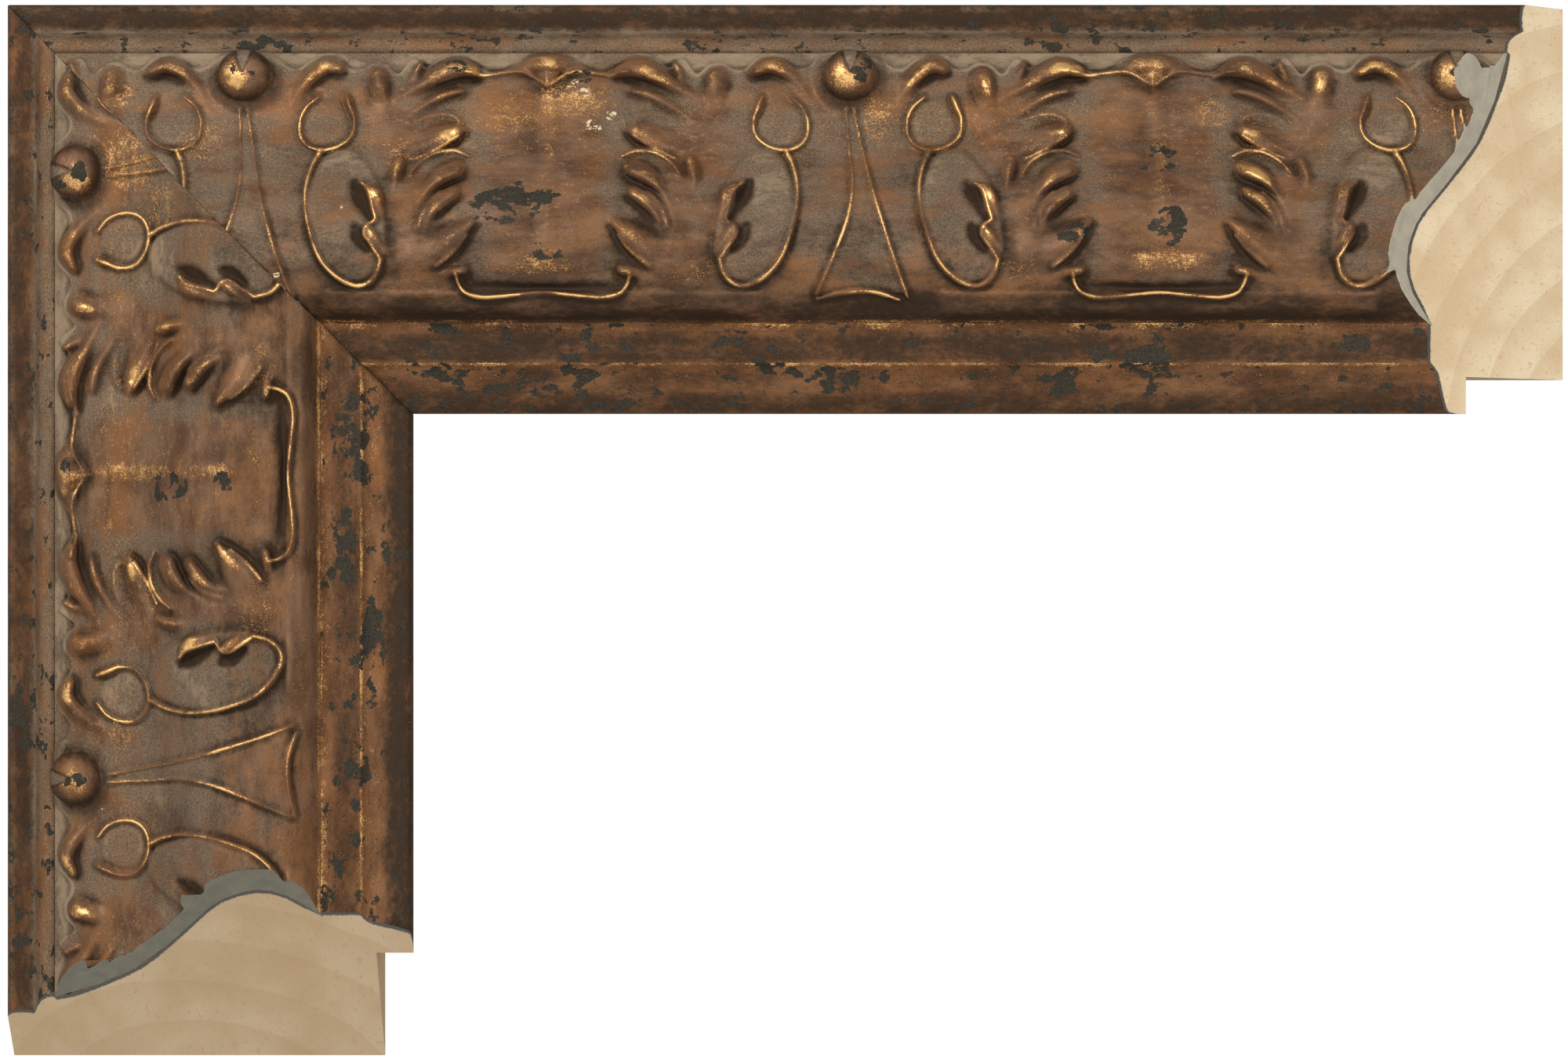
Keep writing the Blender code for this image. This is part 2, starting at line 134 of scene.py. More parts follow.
def move_points(piece, points):
    piece.data.vertices.foreach_set("co", np.asarray(points, dtype=float).ravel())
    piece.data.update()


def edit(piece, *steps):
    """Goes into edit mode on the piece and does the steps in turn."""
    bpy.ops.object.select_all(action="DESELECT")
    piece.select_set(True)
    bpy.context.view_layer.objects.active = piece
    bpy.ops.object.mode_set(mode="EDIT")
    for step in steps:
        step()
    bpy.ops.object.mode_set(mode="OBJECT")


def choose(piece, kind, wanted):
    """Selects only the wanted points, edges or faces."""
    modes = ("vertices", "edges", "polygons")
    bpy.context.tool_settings.mesh_select_mode = [kind == mode for mode in modes]
    for mode in modes:
        elements = getattr(piece.data, mode)
        picked = wanted if mode == kind else np.zeros(len(elements), dtype=bool)
        elements.foreach_set("select", np.asarray(picked, dtype=bool))
    piece.data.update()


def select_everything():
    bpy.ops.mesh.select_all(action="SELECT")


def cut_off(piece, point, facing):
    """Saws the piece through a point and drops what lies on the side that the plane faces."""
    bpy.context.tool_settings.mesh_select_mode = (True, False, False)
    edit(piece, select_everything,
         lambda: bpy.ops.mesh.bisect(plane_co=point, plane_no=facing, use_fill=True, clear_outer=True))


def cut_to_length(piece, hand, length):
    """Mitres the piece at the corner and saws its free end on the slant. The hand is 1 for a rail that
    runs away from the corner, and -1 for one that runs up to it."""
    cut_off(piece, Vector((hand * JOINT_GAP, JOINT_GAP, 0.0)) * MM * math.sqrt(0.5), (-hand, -1, 0))
    cut_off(piece, (hand * length * MM, 0, 0), (hand, 0, 1))


def cut_faces(normals, hand, closeness):
    """Which faces lie in the plane of the slanting saw cut, and which in that of the mitre."""
    return [normals @ Vector(facing).normalized() > closeness for facing in ((hand, 0, 1), (-hand, -1, 0))]


def edge_ends(piece):
    """The places of the two ends of each edge."""
    pairs = np.empty(len(piece.data.edges) * 2, dtype=int)
    piece.data.edges.foreach_get("vertices", pairs)
    points = coordinates(piece)
    return points[pairs[0::2]], points[pairs[1::2]]


def face_facts(piece):
    """Middle and normal of each face."""
    middles = np.empty(len(piece.data.polygons) * 3)
    normals = np.empty_like(middles)
    piece.data.polygons.foreach_get("center", middles)
    piece.data.polygons.foreach_get("normal", normals)
    return middles.reshape(-1, 3), normals.reshape(-1, 3)


def attribute(piece, name, values, kind="FLOAT"):
    """Stores one value, or one place, for each point of the piece."""
    layer = piece.data.attributes.new(name, kind, "POINT")
    layer.data.foreach_set("vector" if kind == "FLOAT_VECTOR" else "value",
                           np.asarray(values, dtype=np.float32).ravel())


def rail_places(piece):
    """Place of each point in millimetres: along the rail, inwards from the outer side, above the back."""
    points = coordinates(piece) / MM
    return points[:, 0], -points[:, 1], points[:, 2]


def spots(along, across, places):
    """For each listed spot, its strength and how far each point is from its middle, in spot sizes."""
    for middle_along, middle_across, long, wide, strength in places:
        yield strength, np.hypot((along - middle_along) / long, (across - middle_across) / wide)


def moulded_bar(name, start, end):
    """The bare bar: the profile, drawn as a ring of points, run from start to end along the rail
    and divided along its length so that its face can carry dents."""
    bed = [tuple(point) for point in smooth_line(BED, 2)[1:-1]]
    outline = np.array([*OUTER_SIDE, *FILLET, *bed, *FLAT, *LIP, *RABBET, *BACK]) * MM
    bar = start_piece(bpy.ops.mesh.primitive_circle_add, name, vertices=len(outline), fill_type="NGON")
    move_points(bar, np.column_stack([np.full(len(outline), start * MM), -outline[:, 0], outline[:, 1]]))
    length = (end - start) * MM
    edit(bar, select_everything,
         lambda: bpy.ops.mesh.extrude_region_move(TRANSFORM_OT_translate={"value": (length, 0, 0)}),
         select_everything,
         lambda: bpy.ops.mesh.normals_make_consistent(inside=False))
    for cuts in (round(length / MM / RING_SPACING), 2):
        first, last = edge_ends(bar)
        choose(bar, "edges", np.abs(first[:, 0] - last[:, 0]) > 1e-6)
        edit(bar, lambda: bpy.ops.mesh.subdivide(number_cuts=cuts))
    return bar


def finish_timber(bar, hand, seed, run_offset, dark_bands, chips):
    """Gives the cut bar its dents, its faces their materials and its points their wear."""
    along, across, height = rail_places(bar)
    facing_out = (height > 8.0) & ~((height < 21.0) & (across > 60.0))
    shown = facing_out & ((across < LEDGE_END - 0.05) | (across > FLAT_START))
    dents = 0.05 * soft_noise(along, across * 3, 5.0, seed)
    dents = dents + 0.04 * soft_noise(along, across * 2, 1.6, seed + 1)
    corners = hump(across, ARRIS, 0.5) + hump(across, 6.9, 0.8)
    knocks = 0.16 * np.clip(soft_noise(along, across, 2.2, seed + 2) - 0.45, 0, 1) * corners
    height = height + np.where(shown, dents - knocks - 0.05, 0.0)
    move_points(bar, np.column_stack([along, -across, height]) * MM)
    middles, normals = face_facts(bar)
    middles = middles / MM
    sawn, mitre = cut_faces(normals, hand, 0.999)
    bare = (middles[:, 2] < 0.01) | ((-middles[:, 1] > 69.3) & (middles[:, 2] < 21.0))
    bare &= ~(sawn | mitre)
    slot = np.where(sawn | mitre, 1, np.where(bare, 2, 0))
    bar.data.polygons.foreach_set("material_index", slot.astype(int))
    bar.data.polygons.foreach_set("use_smooth", slot == 0)
    along, across, height = rail_places(bar)
    rub_and_highlight = np.interp(across, *np.array(RUB_BANDS).T)
    rub_and_highlight *= 0.85 + 0.55 * soft_noise(along, across * 0.4, 6.0, seed + 4)
    dust_and_highlight = np.interp(across, *np.array(DUST_AND_HIGHLIGHT_BANDS).T)
    worn = np.where(across > 60.0, 0.41, 0.39) + 0.13 * soft_noise(along, across * 0.3, 22.0, seed + 3)
    for strength, away in spots(along, across, chips):
        worn = np.maximum(worn, 0.40 + strength * ease(1.6 - away))
    attribute(bar, "rail_place", np.column_stack([along + run_offset, across, height]), "FLOAT_VECTOR")
    attribute(bar, "dark", np.interp(across, *np.array(dark_bands).T))
    attribute(bar, "rub_and_highlight", rub_and_highlight)
    attribute(bar, "fleck", np.where(across < LEDGE_END, 0.27, 0.2))
    attribute(bar, "dust_and_highlight", np.where(across > 60, 0.0, dust_and_highlight))
    attribute(bar, "worn", np.where(facing_out, worn, 0.3))


# How much gold is rubbed on, and how much dust has stayed, by the distance inwards; the pale peak on the
# riser near 5.2 is painted highlight
RUB_BANDS = [(0.0, 0.0), (0.4, 0.1), (6.4, 0.0), (7.4, 0.24), (8.6, 0.24), (9.3, 0.2), (60.1, 0.5),
             (60.4, 0.4), (61.5, 0.1), (66.9, 0.1), (67.2, 0.66), (67.4, 0.66), (67.9, 0.16), (69.4, 0.2),
             (70.6, 0.1), (75.4, 0.0), (75.9, 0.24), (76.2, 0.1)]
DUST_AND_HIGHLIGHT_BANDS = [(0.0, 0.5), (1.2, 0.6), (2.0, 0.0), (3.6, 0.1), (4.6, 0.6), (5.2, 1.15), (5.9, 0.8),
              (6.4, 0.6), (8.2, 0.8), (9.3, 1.0)]
# How dark the finish is, in the same way; on both rails the lighter stretch on the riser, 5.0 to 5.3, is
# painted highlight
TOP_DARK = [(0.0, 0.8), (0.8, 0.62), (1.4, 0.78), (2.0, 0.9), (3.0, 0.86), (4.2, 0.74), (5.0, 0.45),
            (5.3, 0.35), (6.2, 0.5), (7.0, 0.18), (9.3, 0.12), (60.2, 0.2), (61.6, 0.5), (63.0, 0.78),
            (66.6, 0.76), (67.1, 0.3), (67.9, 0.2), (69.0, 0.52), (71.0, 0.38), (72.4, 0.45), (74.0, 0.74),
            (75.4, 0.74), (76.2, 0.5)]
SIDE_DARK = [(0.0, 0.7), (0.8, 0.5), (1.4, 0.64), (2.0, 0.74), (3.0, 0.7), (4.2, 0.62), (5.0, 0.36),
             (5.3, 0.26), (6.2, 0.38), (7.0, 0.02), (9.3, 0.02), (60.2, 0.05), (61.6, 0.15), (63.0, 0.5),
             (66.0, 0.6), (67.0, 0.4), (67.7, 0.1), (70.5, 0.15), (71.5, 0.45), (72.6, 0.96), (74.6, 0.98),
             (75.6, 0.88), (76.2, 0.75)]

# Where the finish has chipped: along the rail, across, half length, half width, strength
TOP_CHIPS = [(134.5, 62.3, 4.0, 1.2, 0.3), (141.5, 66.5, 3.5, 2.4, 0.28), (154.5, 69.5, 7.0, 2.0, 0.28),
             (195.0, 71.0, 4.0, 1.6, 0.3), (201.5, 64.0, 1.6, 1.5, 0.3), (211.0, 67.0, 4.0, 3.6, 0.26),
             (103.0, 69.5, 5.0, 2.0, 0.24), (248.0, 64.5, 5.0, 1.6, 0.24), (48.0, 7.6, 3.0, 1.2, 0.3)]


def node(tree, kind, settings=None, **values):
    """Adds a node, with settings for its properties and values for its input sockets."""
    made = tree.nodes.new(kind)
    for key, value in (settings or {}).items():
        setattr(made, key, value)
    for key, value in values.items():
        made.inputs[key.replace("_", " ")].default_value = value
    return made


def link(tree, source, target, out=0, into=0):
    tree.links.new(source.outputs[out], target.inputs[into])


def reading(tree, name, out="Fac"):
    """The value that an attribute of the piece has at each point."""
    return node(tree, "ShaderNodeAttribute", {"attribute_name": name}).outputs[out]


def grain(tree, place, stretch, scale, detail=4.0, roughness=0.55):
    """Noise over the piece's own place, drawn out by the three stretches."""
    turned = node(tree, "ShaderNodeMapping", Scale=stretch)
    tree.links.new(place, turned.inputs["Vector"])
    noise = node(tree, "ShaderNodeTexNoise", Scale=scale, Detail=detail, Roughness=roughness)
    link(tree, turned, noise)
    return noise.outputs["Fac"]


def ramp(tree, source, low, high, start=0.0, end=1.0):
    """Stretches a value so that low becomes start and high becomes end, and no further."""
    made = node(tree, "ShaderNodeMapRange", {"interpolation_type": "SMOOTHSTEP"})
    for socket, value in zip(("From Min", "From Max", "To Min", "To Max"), (low, high, start, end)):
        made.inputs[socket].default_value = value
    tree.links.new(source, made.inputs["Value"])
    return made.outputs["Result"]


def math_of(tree, operation, first, second):
    made = node(tree, "ShaderNodeMath", {"operation": operation})
    for k, value in enumerate((first, second)):
        if isinstance(value, (int, float)):
            made.inputs[k].default_value = value
        else:
            tree.links.new(value, made.inputs[k])
    return made.outputs[0]


def blend(tree, factor, first, second, mode="MIX"):
    """Mixes two colours, each given as a colour or as a socket."""
    made = node(tree, "ShaderNodeMix", {"data_type": "RGBA", "blend_type": mode})
    if isinstance(factor, (int, float)):
        made.inputs["Factor"].default_value = factor
    else:
        tree.links.new(factor, made.inputs["Factor"])
    for socket, value in (("A", first), ("B", second)):
        target = [s for s in made.inputs if s.name == socket and s.type == "RGBA"][0]
        if isinstance(value, tuple):
            target.default_value = (*value, 1.0)
        else:
            tree.links.new(value, target)
    return [s for s in made.outputs if s.type == "RGBA"][0]


def total(tree, first, *others):
    """The sum of several values."""
    for each in others:
        first = math_of(tree, "ADD", first, each)
    return first


def weighted(tree, *parts):
    """The sum of values, each given with its weight."""
    return total(tree, *(math_of(tree, "MULTIPLY", value, weight) for value, weight in parts))


def sway(tree, noise, amount, low=0.3):
    """A noise spread to run from the amount below zero to the amount above it."""
    return ramp(tree, noise, low, 1.0 - low, -amount, amount)


def new_material(name):
    made = bpy.data.materials.new(name)
    made.use_nodes = True
    tree = made.node_tree
    return made, tree, tree.nodes["Principled BSDF"]


def put_bump(tree, shader, height, strength, distance):
    bump = node(tree, "ShaderNodeBump", Strength=strength, Distance=distance)
    tree.links.new(height, bump.inputs["Height"])
    link(tree, bump, shader, 0, "Normal")


# Colours that both bronze finishes share
GLINT = (0.46, 0.25, 0.115)
PALE_DUST_AND_HIGHLIGHT = (0.33, 0.242, 0.154)
UMBER_AND_SHADE = (0.034, 0.0205, 0.0128)
THIN_GOLD, THICK_GOLD = (0.36, 0.165, 0.058), (0.92, 0.56, 0.22)
DARK_GROUND, LIGHT_GROUND = (0.020, 0.0178, 0.014), (0.043, 0.0375, 0.028)
PALE_SIZE = (0.68, 0.53, 0.33)
BRONZE_GLEAM = (1.0, 0.78, 0.54, 1.0)


def bronze_finish(name, brown, copper, ember, wash_dark, wash_light, gleam):
    """The face: brown and copper brushed along the rail, a grey coat in the hollows that turns pale where it
    is dusty and where it stands for painted highlight, a dark brown glaze that is partly patina in the
    hollows and partly painted shade, gold worn through on the edges with painted highlight, and chips where
    the coats are gone down to the blue-black ground."""
    made, tree, shader = new_material(name)
    place = reading(tree, "rail_place", "Vector")
    dark, dust_and_highlight, rub_and_highlight, worn, fleck = (reading(tree, each) for each in ("dark", "dust_and_highlight", "rub_and_highlight", "worn", "fleck"))
    streaks = grain(tree, place, (0.08, 1.0, 0.6), 1.3, 4.0, 0.55)
    clouds = grain(tree, place, (0.45, 1.0, 1.0), 0.20, 5.0, 0.62)
    mottle = grain(tree, place, (0.7, 1.0, 1.0), 0.8, 5.0, 0.7)
    flakes = grain(tree, place, (0.75, 1.0, 1.0), 0.34, 4.0, 0.62)
    speckle = grain(tree, place, (1.0, 1.0, 1.0), 3.2, 3.0, 0.6)
    drifts = grain(tree, place, (0.5, 1.0, 1.0), 0.12, 6.0, 0.70)
    # Copper over brown, brushed along the rail
    tone = weighted(tree, (streaks, 0.14), (clouds, 0.86))
    color = blend(tree, ramp(tree, tone, 0.34, 0.66), brown, copper)
    color = blend(tree, ramp(tree, drifts, 0.47, 0.64, 0.0, 0.7), color, ember)
    glint = weighted(tree, (speckle, 0.5), (mottle, 0.5))
    color = blend(tree, ramp(tree, glint, 0.52, 0.68, 0.0, 0.7), color, GLINT)
    # Grey wash, pale dust that also paints highlights, and umber that also paints shade
    dust_and_highlight_level = total(tree, dust_and_highlight, sway(tree, mottle, 0.2), ramp(tree, drifts, 0.36, 0.62, 0.30, -0.24))
    grey = blend(tree, ramp(tree, speckle, 0.35, 0.65), wash_dark, wash_light)
    color = blend(tree, ramp(tree, dust_and_highlight_level, 0.15, 0.95, 0.0, 0.85), color, grey)
    color = blend(tree, ramp(tree, dust_and_highlight_level, 0.95, 1.5, 0.0, 0.75), color, PALE_DUST_AND_HIGHLIGHT)
    umber_and_shade = total(tree, dark, sway(tree, mottle, 0.2), sway(tree, clouds, -0.14))
    color = blend(tree, ramp(tree, umber_and_shade, 0.0, 1.0), color, UMBER_AND_SHADE)
    # Gold where it is rubbed, and painted highlight
    rubbed_and_lit = total(tree, rub_and_highlight, sway(tree, speckle, 0.2), sway(tree, mottle, 0.18))
    gold_share = ramp(tree, rubbed_and_lit, 0.22, 0.9)
    gold = blend(tree, ramp(tree, rubbed_and_lit, 0.35, 1.0), THIN_GOLD, THICK_GOLD)
    color = blend(tree, gold_share, color, gold)
    # Chips down to the ground, and flecks of the pale size
    lost = total(tree, worn, sway(tree, flakes, 0.34, 0.25), sway(tree, mottle, 0.07, 0.25))
    chip = ramp(tree, lost, 0.62, 0.65)
    bare = blend(tree, ramp(tree, speckle, 0.35, 0.65), DARK_GROUND, LIGHT_GROUND)
    color = blend(tree, chip, color, bare)
    flaked = ramp(tree, total(tree, fleck, sway(tree, mottle, 0.3)), 0.62, 0.7)
    color = blend(tree, flaked, color, PALE_SIZE)
    tree.links.new(color, shader.inputs["Base Color"])
    shader.inputs["Specular IOR Level"].default_value = gleam
    shader.inputs["Specular Tint"].default_value = BRONZE_GLEAM
    metal = math_of(tree, "ADD", 0.20, math_of(tree, "MULTIPLY", gold_share, 0.6))
    metal = math_of(tree, "MULTIPLY", metal, math_of(tree, "SUBTRACT", 1.0, chip))
    tree.links.new(metal, shader.inputs["Metallic"])
    dull = math_of(tree, "MULTIPLY", ramp(tree, dust_and_highlight_level, 0.15, 0.95), 0.25)
    dull = math_of(tree, "ADD", dull, ramp(tree, mottle, 0.2, 0.8, 0.42, 0.60))
    tree.links.new(dull, shader.inputs["Roughness"])
    relief = weighted(tree, (speckle, 0.35), (mottle, 0.5), (streaks, 0.25), (chip, -0.35))
    put_bump(tree, shader, relief, 0.55, 0.00022)
    return made


def sawn_softwood(name, pale, ring, middle, ring_scale):
    """End grain: pale wood with faint growth rings, fine pores and short dark strokes of the saw.
    The dark ground under the finish shows as a thin line along the moulded edge."""
    made, tree, shader = new_material(name)
    place = reading(tree, "rail_place", "Vector")
    shifted = node(tree, "ShaderNodeMapping", {"vector_type": "POINT"}, Location=middle,
                   Scale=(0.0, 1.0, 1.3))
    tree.links.new(place, shifted.inputs["Vector"])
    wobble = grain(tree, place, (0.3, 1.0, 1.0), 0.08, 2.0)
    rings = node(tree, "ShaderNodeTexWave",
                 {"wave_type": "RINGS", "rings_direction": "X", "wave_profile": "SAW"},
                 Scale=ring_scale, Distortion=2.5, Detail=3.0, Detail_Scale=0.5)
    link(tree, shifted, rings)
    band = ramp(tree, rings.outputs["Fac"], 0.25, 1.0)
    pores = grain(tree, place, (1.0, 1.0, 1.0), 2.6, 4.0, 0.7)
    fine = grain(tree, place, (1.0, 1.0, 1.0), 7.0, 2.0, 0.6)
    strokes = grain(tree, place, (1.0, 1.3, 0.22), 0.9, 3.0, 0.6)
    color = blend(tree, math_of(tree, "MULTIPLY", band, 0.42), pale, ring)
    color = blend(tree, ramp(tree, wobble, 0.35, 0.65, 0.0, 0.6), color, ring)
    color = blend(tree, ramp(tree, strokes, 0.56, 0.70, 0.0, 0.7), color, ring)
    color = blend(tree, ramp(tree, pores, 0.52, 0.75, 0.0, 0.34), color, (0.40, 0.25, 0.12))
    color = blend(tree, ramp(tree, fine, 0.55, 0.75, 0.0, 0.6), color, (0.34, 0.22, 0.12))
    axes = node(tree, "ShaderNodeSeparateXYZ")
    tree.links.new(place, axes.inputs["Vector"])
    edge = node(tree, "ShaderNodeFloatCurve")
    front = [*FILLET, *[tuple(point) for point in smooth_line(BED, 2)[1:-1]], *FLAT, *LIP]
    line = edge.mapping.curves[0]
    line.points[0].location = (0.0, FILLET[0][1] / FACE_WIDTH)
    line.points[1].location = (1.0, LIP[-1][1] / FACE_WIDTH)
    for across, height in front:
        line.points.new(across / FACE_WIDTH, height / FACE_WIDTH)
    for point in line.points:
        point.handle_type = "VECTOR"
    edge.mapping.update()
    tree.links.new(math_of(tree, "DIVIDE", axes.outputs["Y"], FACE_WIDTH), edge.inputs["Value"])
    face_height = math_of(tree, "MULTIPLY", edge.outputs["Value"], FACE_WIDTH)
    below = math_of(tree, "SUBTRACT", face_height, axes.outputs["Z"])
    coat = ramp(tree, total(tree, below, sway(tree, pores, 0.12)), GROUND_COAT * 0.8, GROUND_COAT * 1.2,
                1.0, 0.0)
    color = blend(tree, coat, color, (0.085, 0.080, 0.070))
    tree.links.new(color, shader.inputs["Base Color"])
    shader.inputs["Roughness"].default_value = 0.72
    put_bump(tree, shader, weighted(tree, (pores, 1.0), (fine, 0.5)), 0.35, 0.00015)
    return made


def bare_back(name):
    """The planed back and rabbet: bare softwood with its grain along the rail."""
    made, tree, shader = new_material(name)
    place = reading(tree, "rail_place", "Vector")
    lines = grain(tree, place, (0.02, 1.0, 1.0), 0.9, 5.0, 0.6)
    broad = grain(tree, place, (0.02, 0.6, 1.0), 0.22, 3.0)
    color = blend(tree, ramp(tree, lines, 0.35, 0.7), (0.58, 0.42, 0.25), (0.44, 0.28, 0.14))
    color = blend(tree, ramp(tree, broad, 0.35, 0.7, 0.0, 0.5), color, (0.50, 0.34, 0.18))
    tree.links.new(color, shader.inputs["Base Color"])
    shader.inputs["Roughness"].default_value = 0.68
    put_bump(tree, shader, lines, 0.3, 0.0002)
    return made


def dress(piece, *materials):
    for each in materials:
        piece.data.materials.append(each)


def put_in_place(piece, turned_up):
    """Turns a piece worked out in its rail's own axes to where it hangs, and fixes it there."""
    place = Matrix.Translation(corner) @ Matrix.Rotation(math.radians(90), 4, "X")
    if turned_up:
        place = place @ Matrix.Rotation(math.radians(90), 4, "Z")
    piece.matrix_world = place
    bpy.ops.object.select_all(action="DESELECT")
    piece.select_set(True)
    bpy.context.view_layer.objects.active = piece
    bpy.ops.object.transform_apply(location=True, rotation=True, scale=True)


timber_finish = bronze_finish("bronze rubbed on timber", (0.085, 0.037, 0.018), (0.205, 0.095, 0.043),
                              (0.19, 0.076, 0.027), (0.120, 0.085, 0.055), (0.215, 0.155, 0.102), 0.14)
back_wood = bare_back("bare planed softwood")

top_wood = moulded_bar("top_rail_moulded_wood", -SAW_WASTE, TOP_LENGTH + SAW_WASTE)
cut_to_length(top_wood, 1, TOP_LENGTH)
finish_timber(top_wood, 1, 11, 0.0, TOP_DARK, TOP_CHIPS)
dress(top_wood, timber_finish, sawn_softwood("pale sawn end", (0.92, 0.745, 0.49), (0.71, 0.49, 0.265),
                                            (0.0, -90.0, 20.0), 0.035), back_wood)
put_in_place(top_wood, False)
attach(top_wood, "root")
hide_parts("top_rail_timber")

# Side rail timber.
# The same moulding turned up on end, so that its run ends at the corner. Its sawn end faces down,
# # and its wood is given darker colours as painted shade, with broader rings.
SIDE_LENGTH = (cad_high[2] - cad_low[2]) / MM
SIDE_RUN_OFFSET = 900.0   # keeps the side rail's grain from repeating the top rail's
SIDE_CHIPS = [(-81.0, 66.0, 8.0, 3.2, 0.3), (-101.0, 64.6, 6.0, 2.0, 0.3), (-116.0, 69.5, 6.0, 2.4, 0.3),
              (-141.0, 66.0, 6.0, 2.6, 0.28), (-160.0, 62.8, 5.0, 1.6, 0.26), (-133.0, 2.5, 8.0, 1.6, 0.24),
              (-100.0, 71.5, 4.0, 1.4, 0.26)]

side_wood = moulded_bar("side_rail_moulded_wood", -SIDE_LENGTH - SAW_WASTE, SAW_WASTE)
cut_to_length(side_wood, -1, SIDE_LENGTH)
finish_timber(side_wood, -1, 37, SIDE_RUN_OFFSET, SIDE_DARK, SIDE_CHIPS)
dress(side_wood, timber_finish, sawn_softwood("shaded sawn end", (0.59, 0.445, 0.275), (0.48, 0.32, 0.17),
                                             (0.0, -34.0, 22.0), 0.030), back_wood)
put_in_place(side_wood, True)
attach(side_wood, "root")
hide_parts("side_rail_timber")

# Top rail ornament.
# A strip of grey composition pressed in a mould, one repeat after another, and laid over the hump
# while soft. Its face has the same bronze finish; the sawn end shows the grey body.
REPEAT = 111.1
HALF = REPEAT / 2
TOP_FIRST_BALL = 45.0
STRIP_OUTER = 9.36
STRIP_INNER = 60.05
MOULD_STEP = 0.15
STRIP_STEP = 0.26
STRIP_KEEP = 0.38         # share of the triangles that carry the shape
SIDE_ROWS = 11            # rows of points down each thin side of the strip
CUT_BEFORE_END = 10.0     # each strip is laid this far short of its rail's end; the cut crosses it sooner
WHOLE_CUT = 5e-6          # square metres; only a face left by a saw cut is larger
SCROLL_SHIFT = 2.7        # how much further from the ball the loop and scroll are on its right
NOTCH_FOOT = 14.4         # where the notch in each ball runs out
BALL = {"radius": 5.1, "across": 14.2, "height": 18.4, "collar": 1.7, "collar_width": 2.5}
GROUND = [(9.0, 12.4), (10.2, 13.6), (12.0, 15.1), (16.0, 17.1), (20.0, 18.6), (25.0, 20.8), (29.0, 23.3),
          (33.0, 26.9), (37.0, 30.6), (41.0, 33.4), (45.0, 35.0), (49.0, 35.4), (53.0, 34.2),
          (56.0, 32.3), (58.0, 30.6), (60.0, 28.7)]
FAR_AWAY = -99.0          # keeps a form off the other side of the ball
# Height, fullness and stroke from root to head: (along from the ball, across, half the width)
FINGERS = [
    (3.2, 0.8, [(27.6, 18.4, 0.7), (31.5, 16.0, 1.5), (35.0, 13.9, 2.0), (38.6, 12.4, 2.3),
                (41.8, 12.9, 1.5)]),
    (1.6, 0.8, [(26.5, 24.0, 0.3), (30.3, 21.2, 0.6), (33.8, 18.9, 0.85), (37.0, 17.4, 0.9),
                (39.8, 16.8, 0.6)]),
    (2.4, 0.6, [(28.6, 28.4, 1.0), (31.8, 27.0, 1.9), (35.0, 25.8, 2.4), (38.0, 24.8, 2.0),
                (39.6, 24.2, 1.3)]),
    (3.0, 0.8, [(33.0, 37.6, 0.7), (34.6, 35.2, 1.3), (36.8, 33.0, 2.0), (39.2, 31.8, 2.0)]),
    (2.7, 0.7, [(34.0, 43.2, 0.6), (34.8, 40.6, 1.1), (36.6, 38.0, 1.7), (39.0, 36.3, 1.5)]),
    (2.7, 0.55, [(32.5, 48.8, 2.8), (36.0, 46.8, 3.2), (39.4, 44.3, 2.4), (42.6, 41.9, 0.9)]),
    (2.2, 0.8, [(37.2, 51.6, 0.9), (39.3, 50.9, 1.1), (41.2, 50.6, 1.0)]),
    (1.6, 0.8, [(30.4, 16.0, 0.4), (31.2, 13.4, 0.75), (32.2, 11.4, 0.6)]),
    (2.6, 0.8, [(25.6, 20.0, 1.2), (24.8, 17.0, 1.9), (24.2, 14.4, 2.2)]),
    (2.6, 0.8, [(28.3, 35.4, 0.5), (28.3, 32.8, 1.2), (29.0, 30.2, 1.1)]),
]
CREST = [(48.2, 12.9, 0.4), (50.8, 12.3, 1.2), (53.2, 11.7, 2.1), (HALF, 11.6, 2.7), (57.9, 11.7, 2.1)]
HOLLOWS = [[(21.0, 34.4, 0.6), (21.9, 36.8, 1.3), (23.2, 39.4, 0.8), (24.6, 41.4, 0.3)],
           [(21.6, 42.6, 0.5), (22.2, 44.6, 1.0), (23.8, 46.8, 0.5)]]
TROUGH = [(26.9, 34.6, 0.3), (27.6, 38.6, 0.6), (27.8, 42.6, 0.8), (28.2, 46.6, 0.7), (29.0, 51.0, 0.3)]
LOBES = [
    (2.7, 0.6, [(25.8, 41.6, 0.5), (25.5, 39.0, 1.2), (24.9, 36.8, 1.5), (23.8, 35.3, 1.1)]),
    (2.7, 0.6, [(26.6, 48.6, 0.5), (25.7, 46.2, 1.1), (24.6, 44.4, 1.3), (23.9, 43.0, 0.9)]),
    (1.5, 0.8, [(20.4, 22.8, 0.4), (19.8, 20.8, 0.75), (19.2, 18.9, 0.9)]),
]
COMMA_RIGHT = [(8.8, 19.4, 0.6), (10.0, 16.6, 1.4), (12.2, 13.8, 1.7), (14.8, 11.9, 1.9), (17.0, 12.3, 1.5)]
COMMA_LEFT = [(7.4, 17.8, 0.6), (9.6, 14.8, 1.2), (12.0, 12.7, 1.7), (14.8, 11.9, 1.7), (17.4, 13.2, 1.0)]
LOOP = [(18.8, 18.0, 0.4), (19.5, 20.0, 0.45), (20.4, 22.4, 0.38), (19.9, 25.4, 0.38), (17.6, 27.4, 0.38),
        (14.6, 28.1, 0.45), (11.9, 27.2, 0.38), (10.5, 25.0, 0.36), (10.5, 22.2, 0.34), (11.6, 19.8, 0.3),
        (13.6, 18.1, 0.22)]
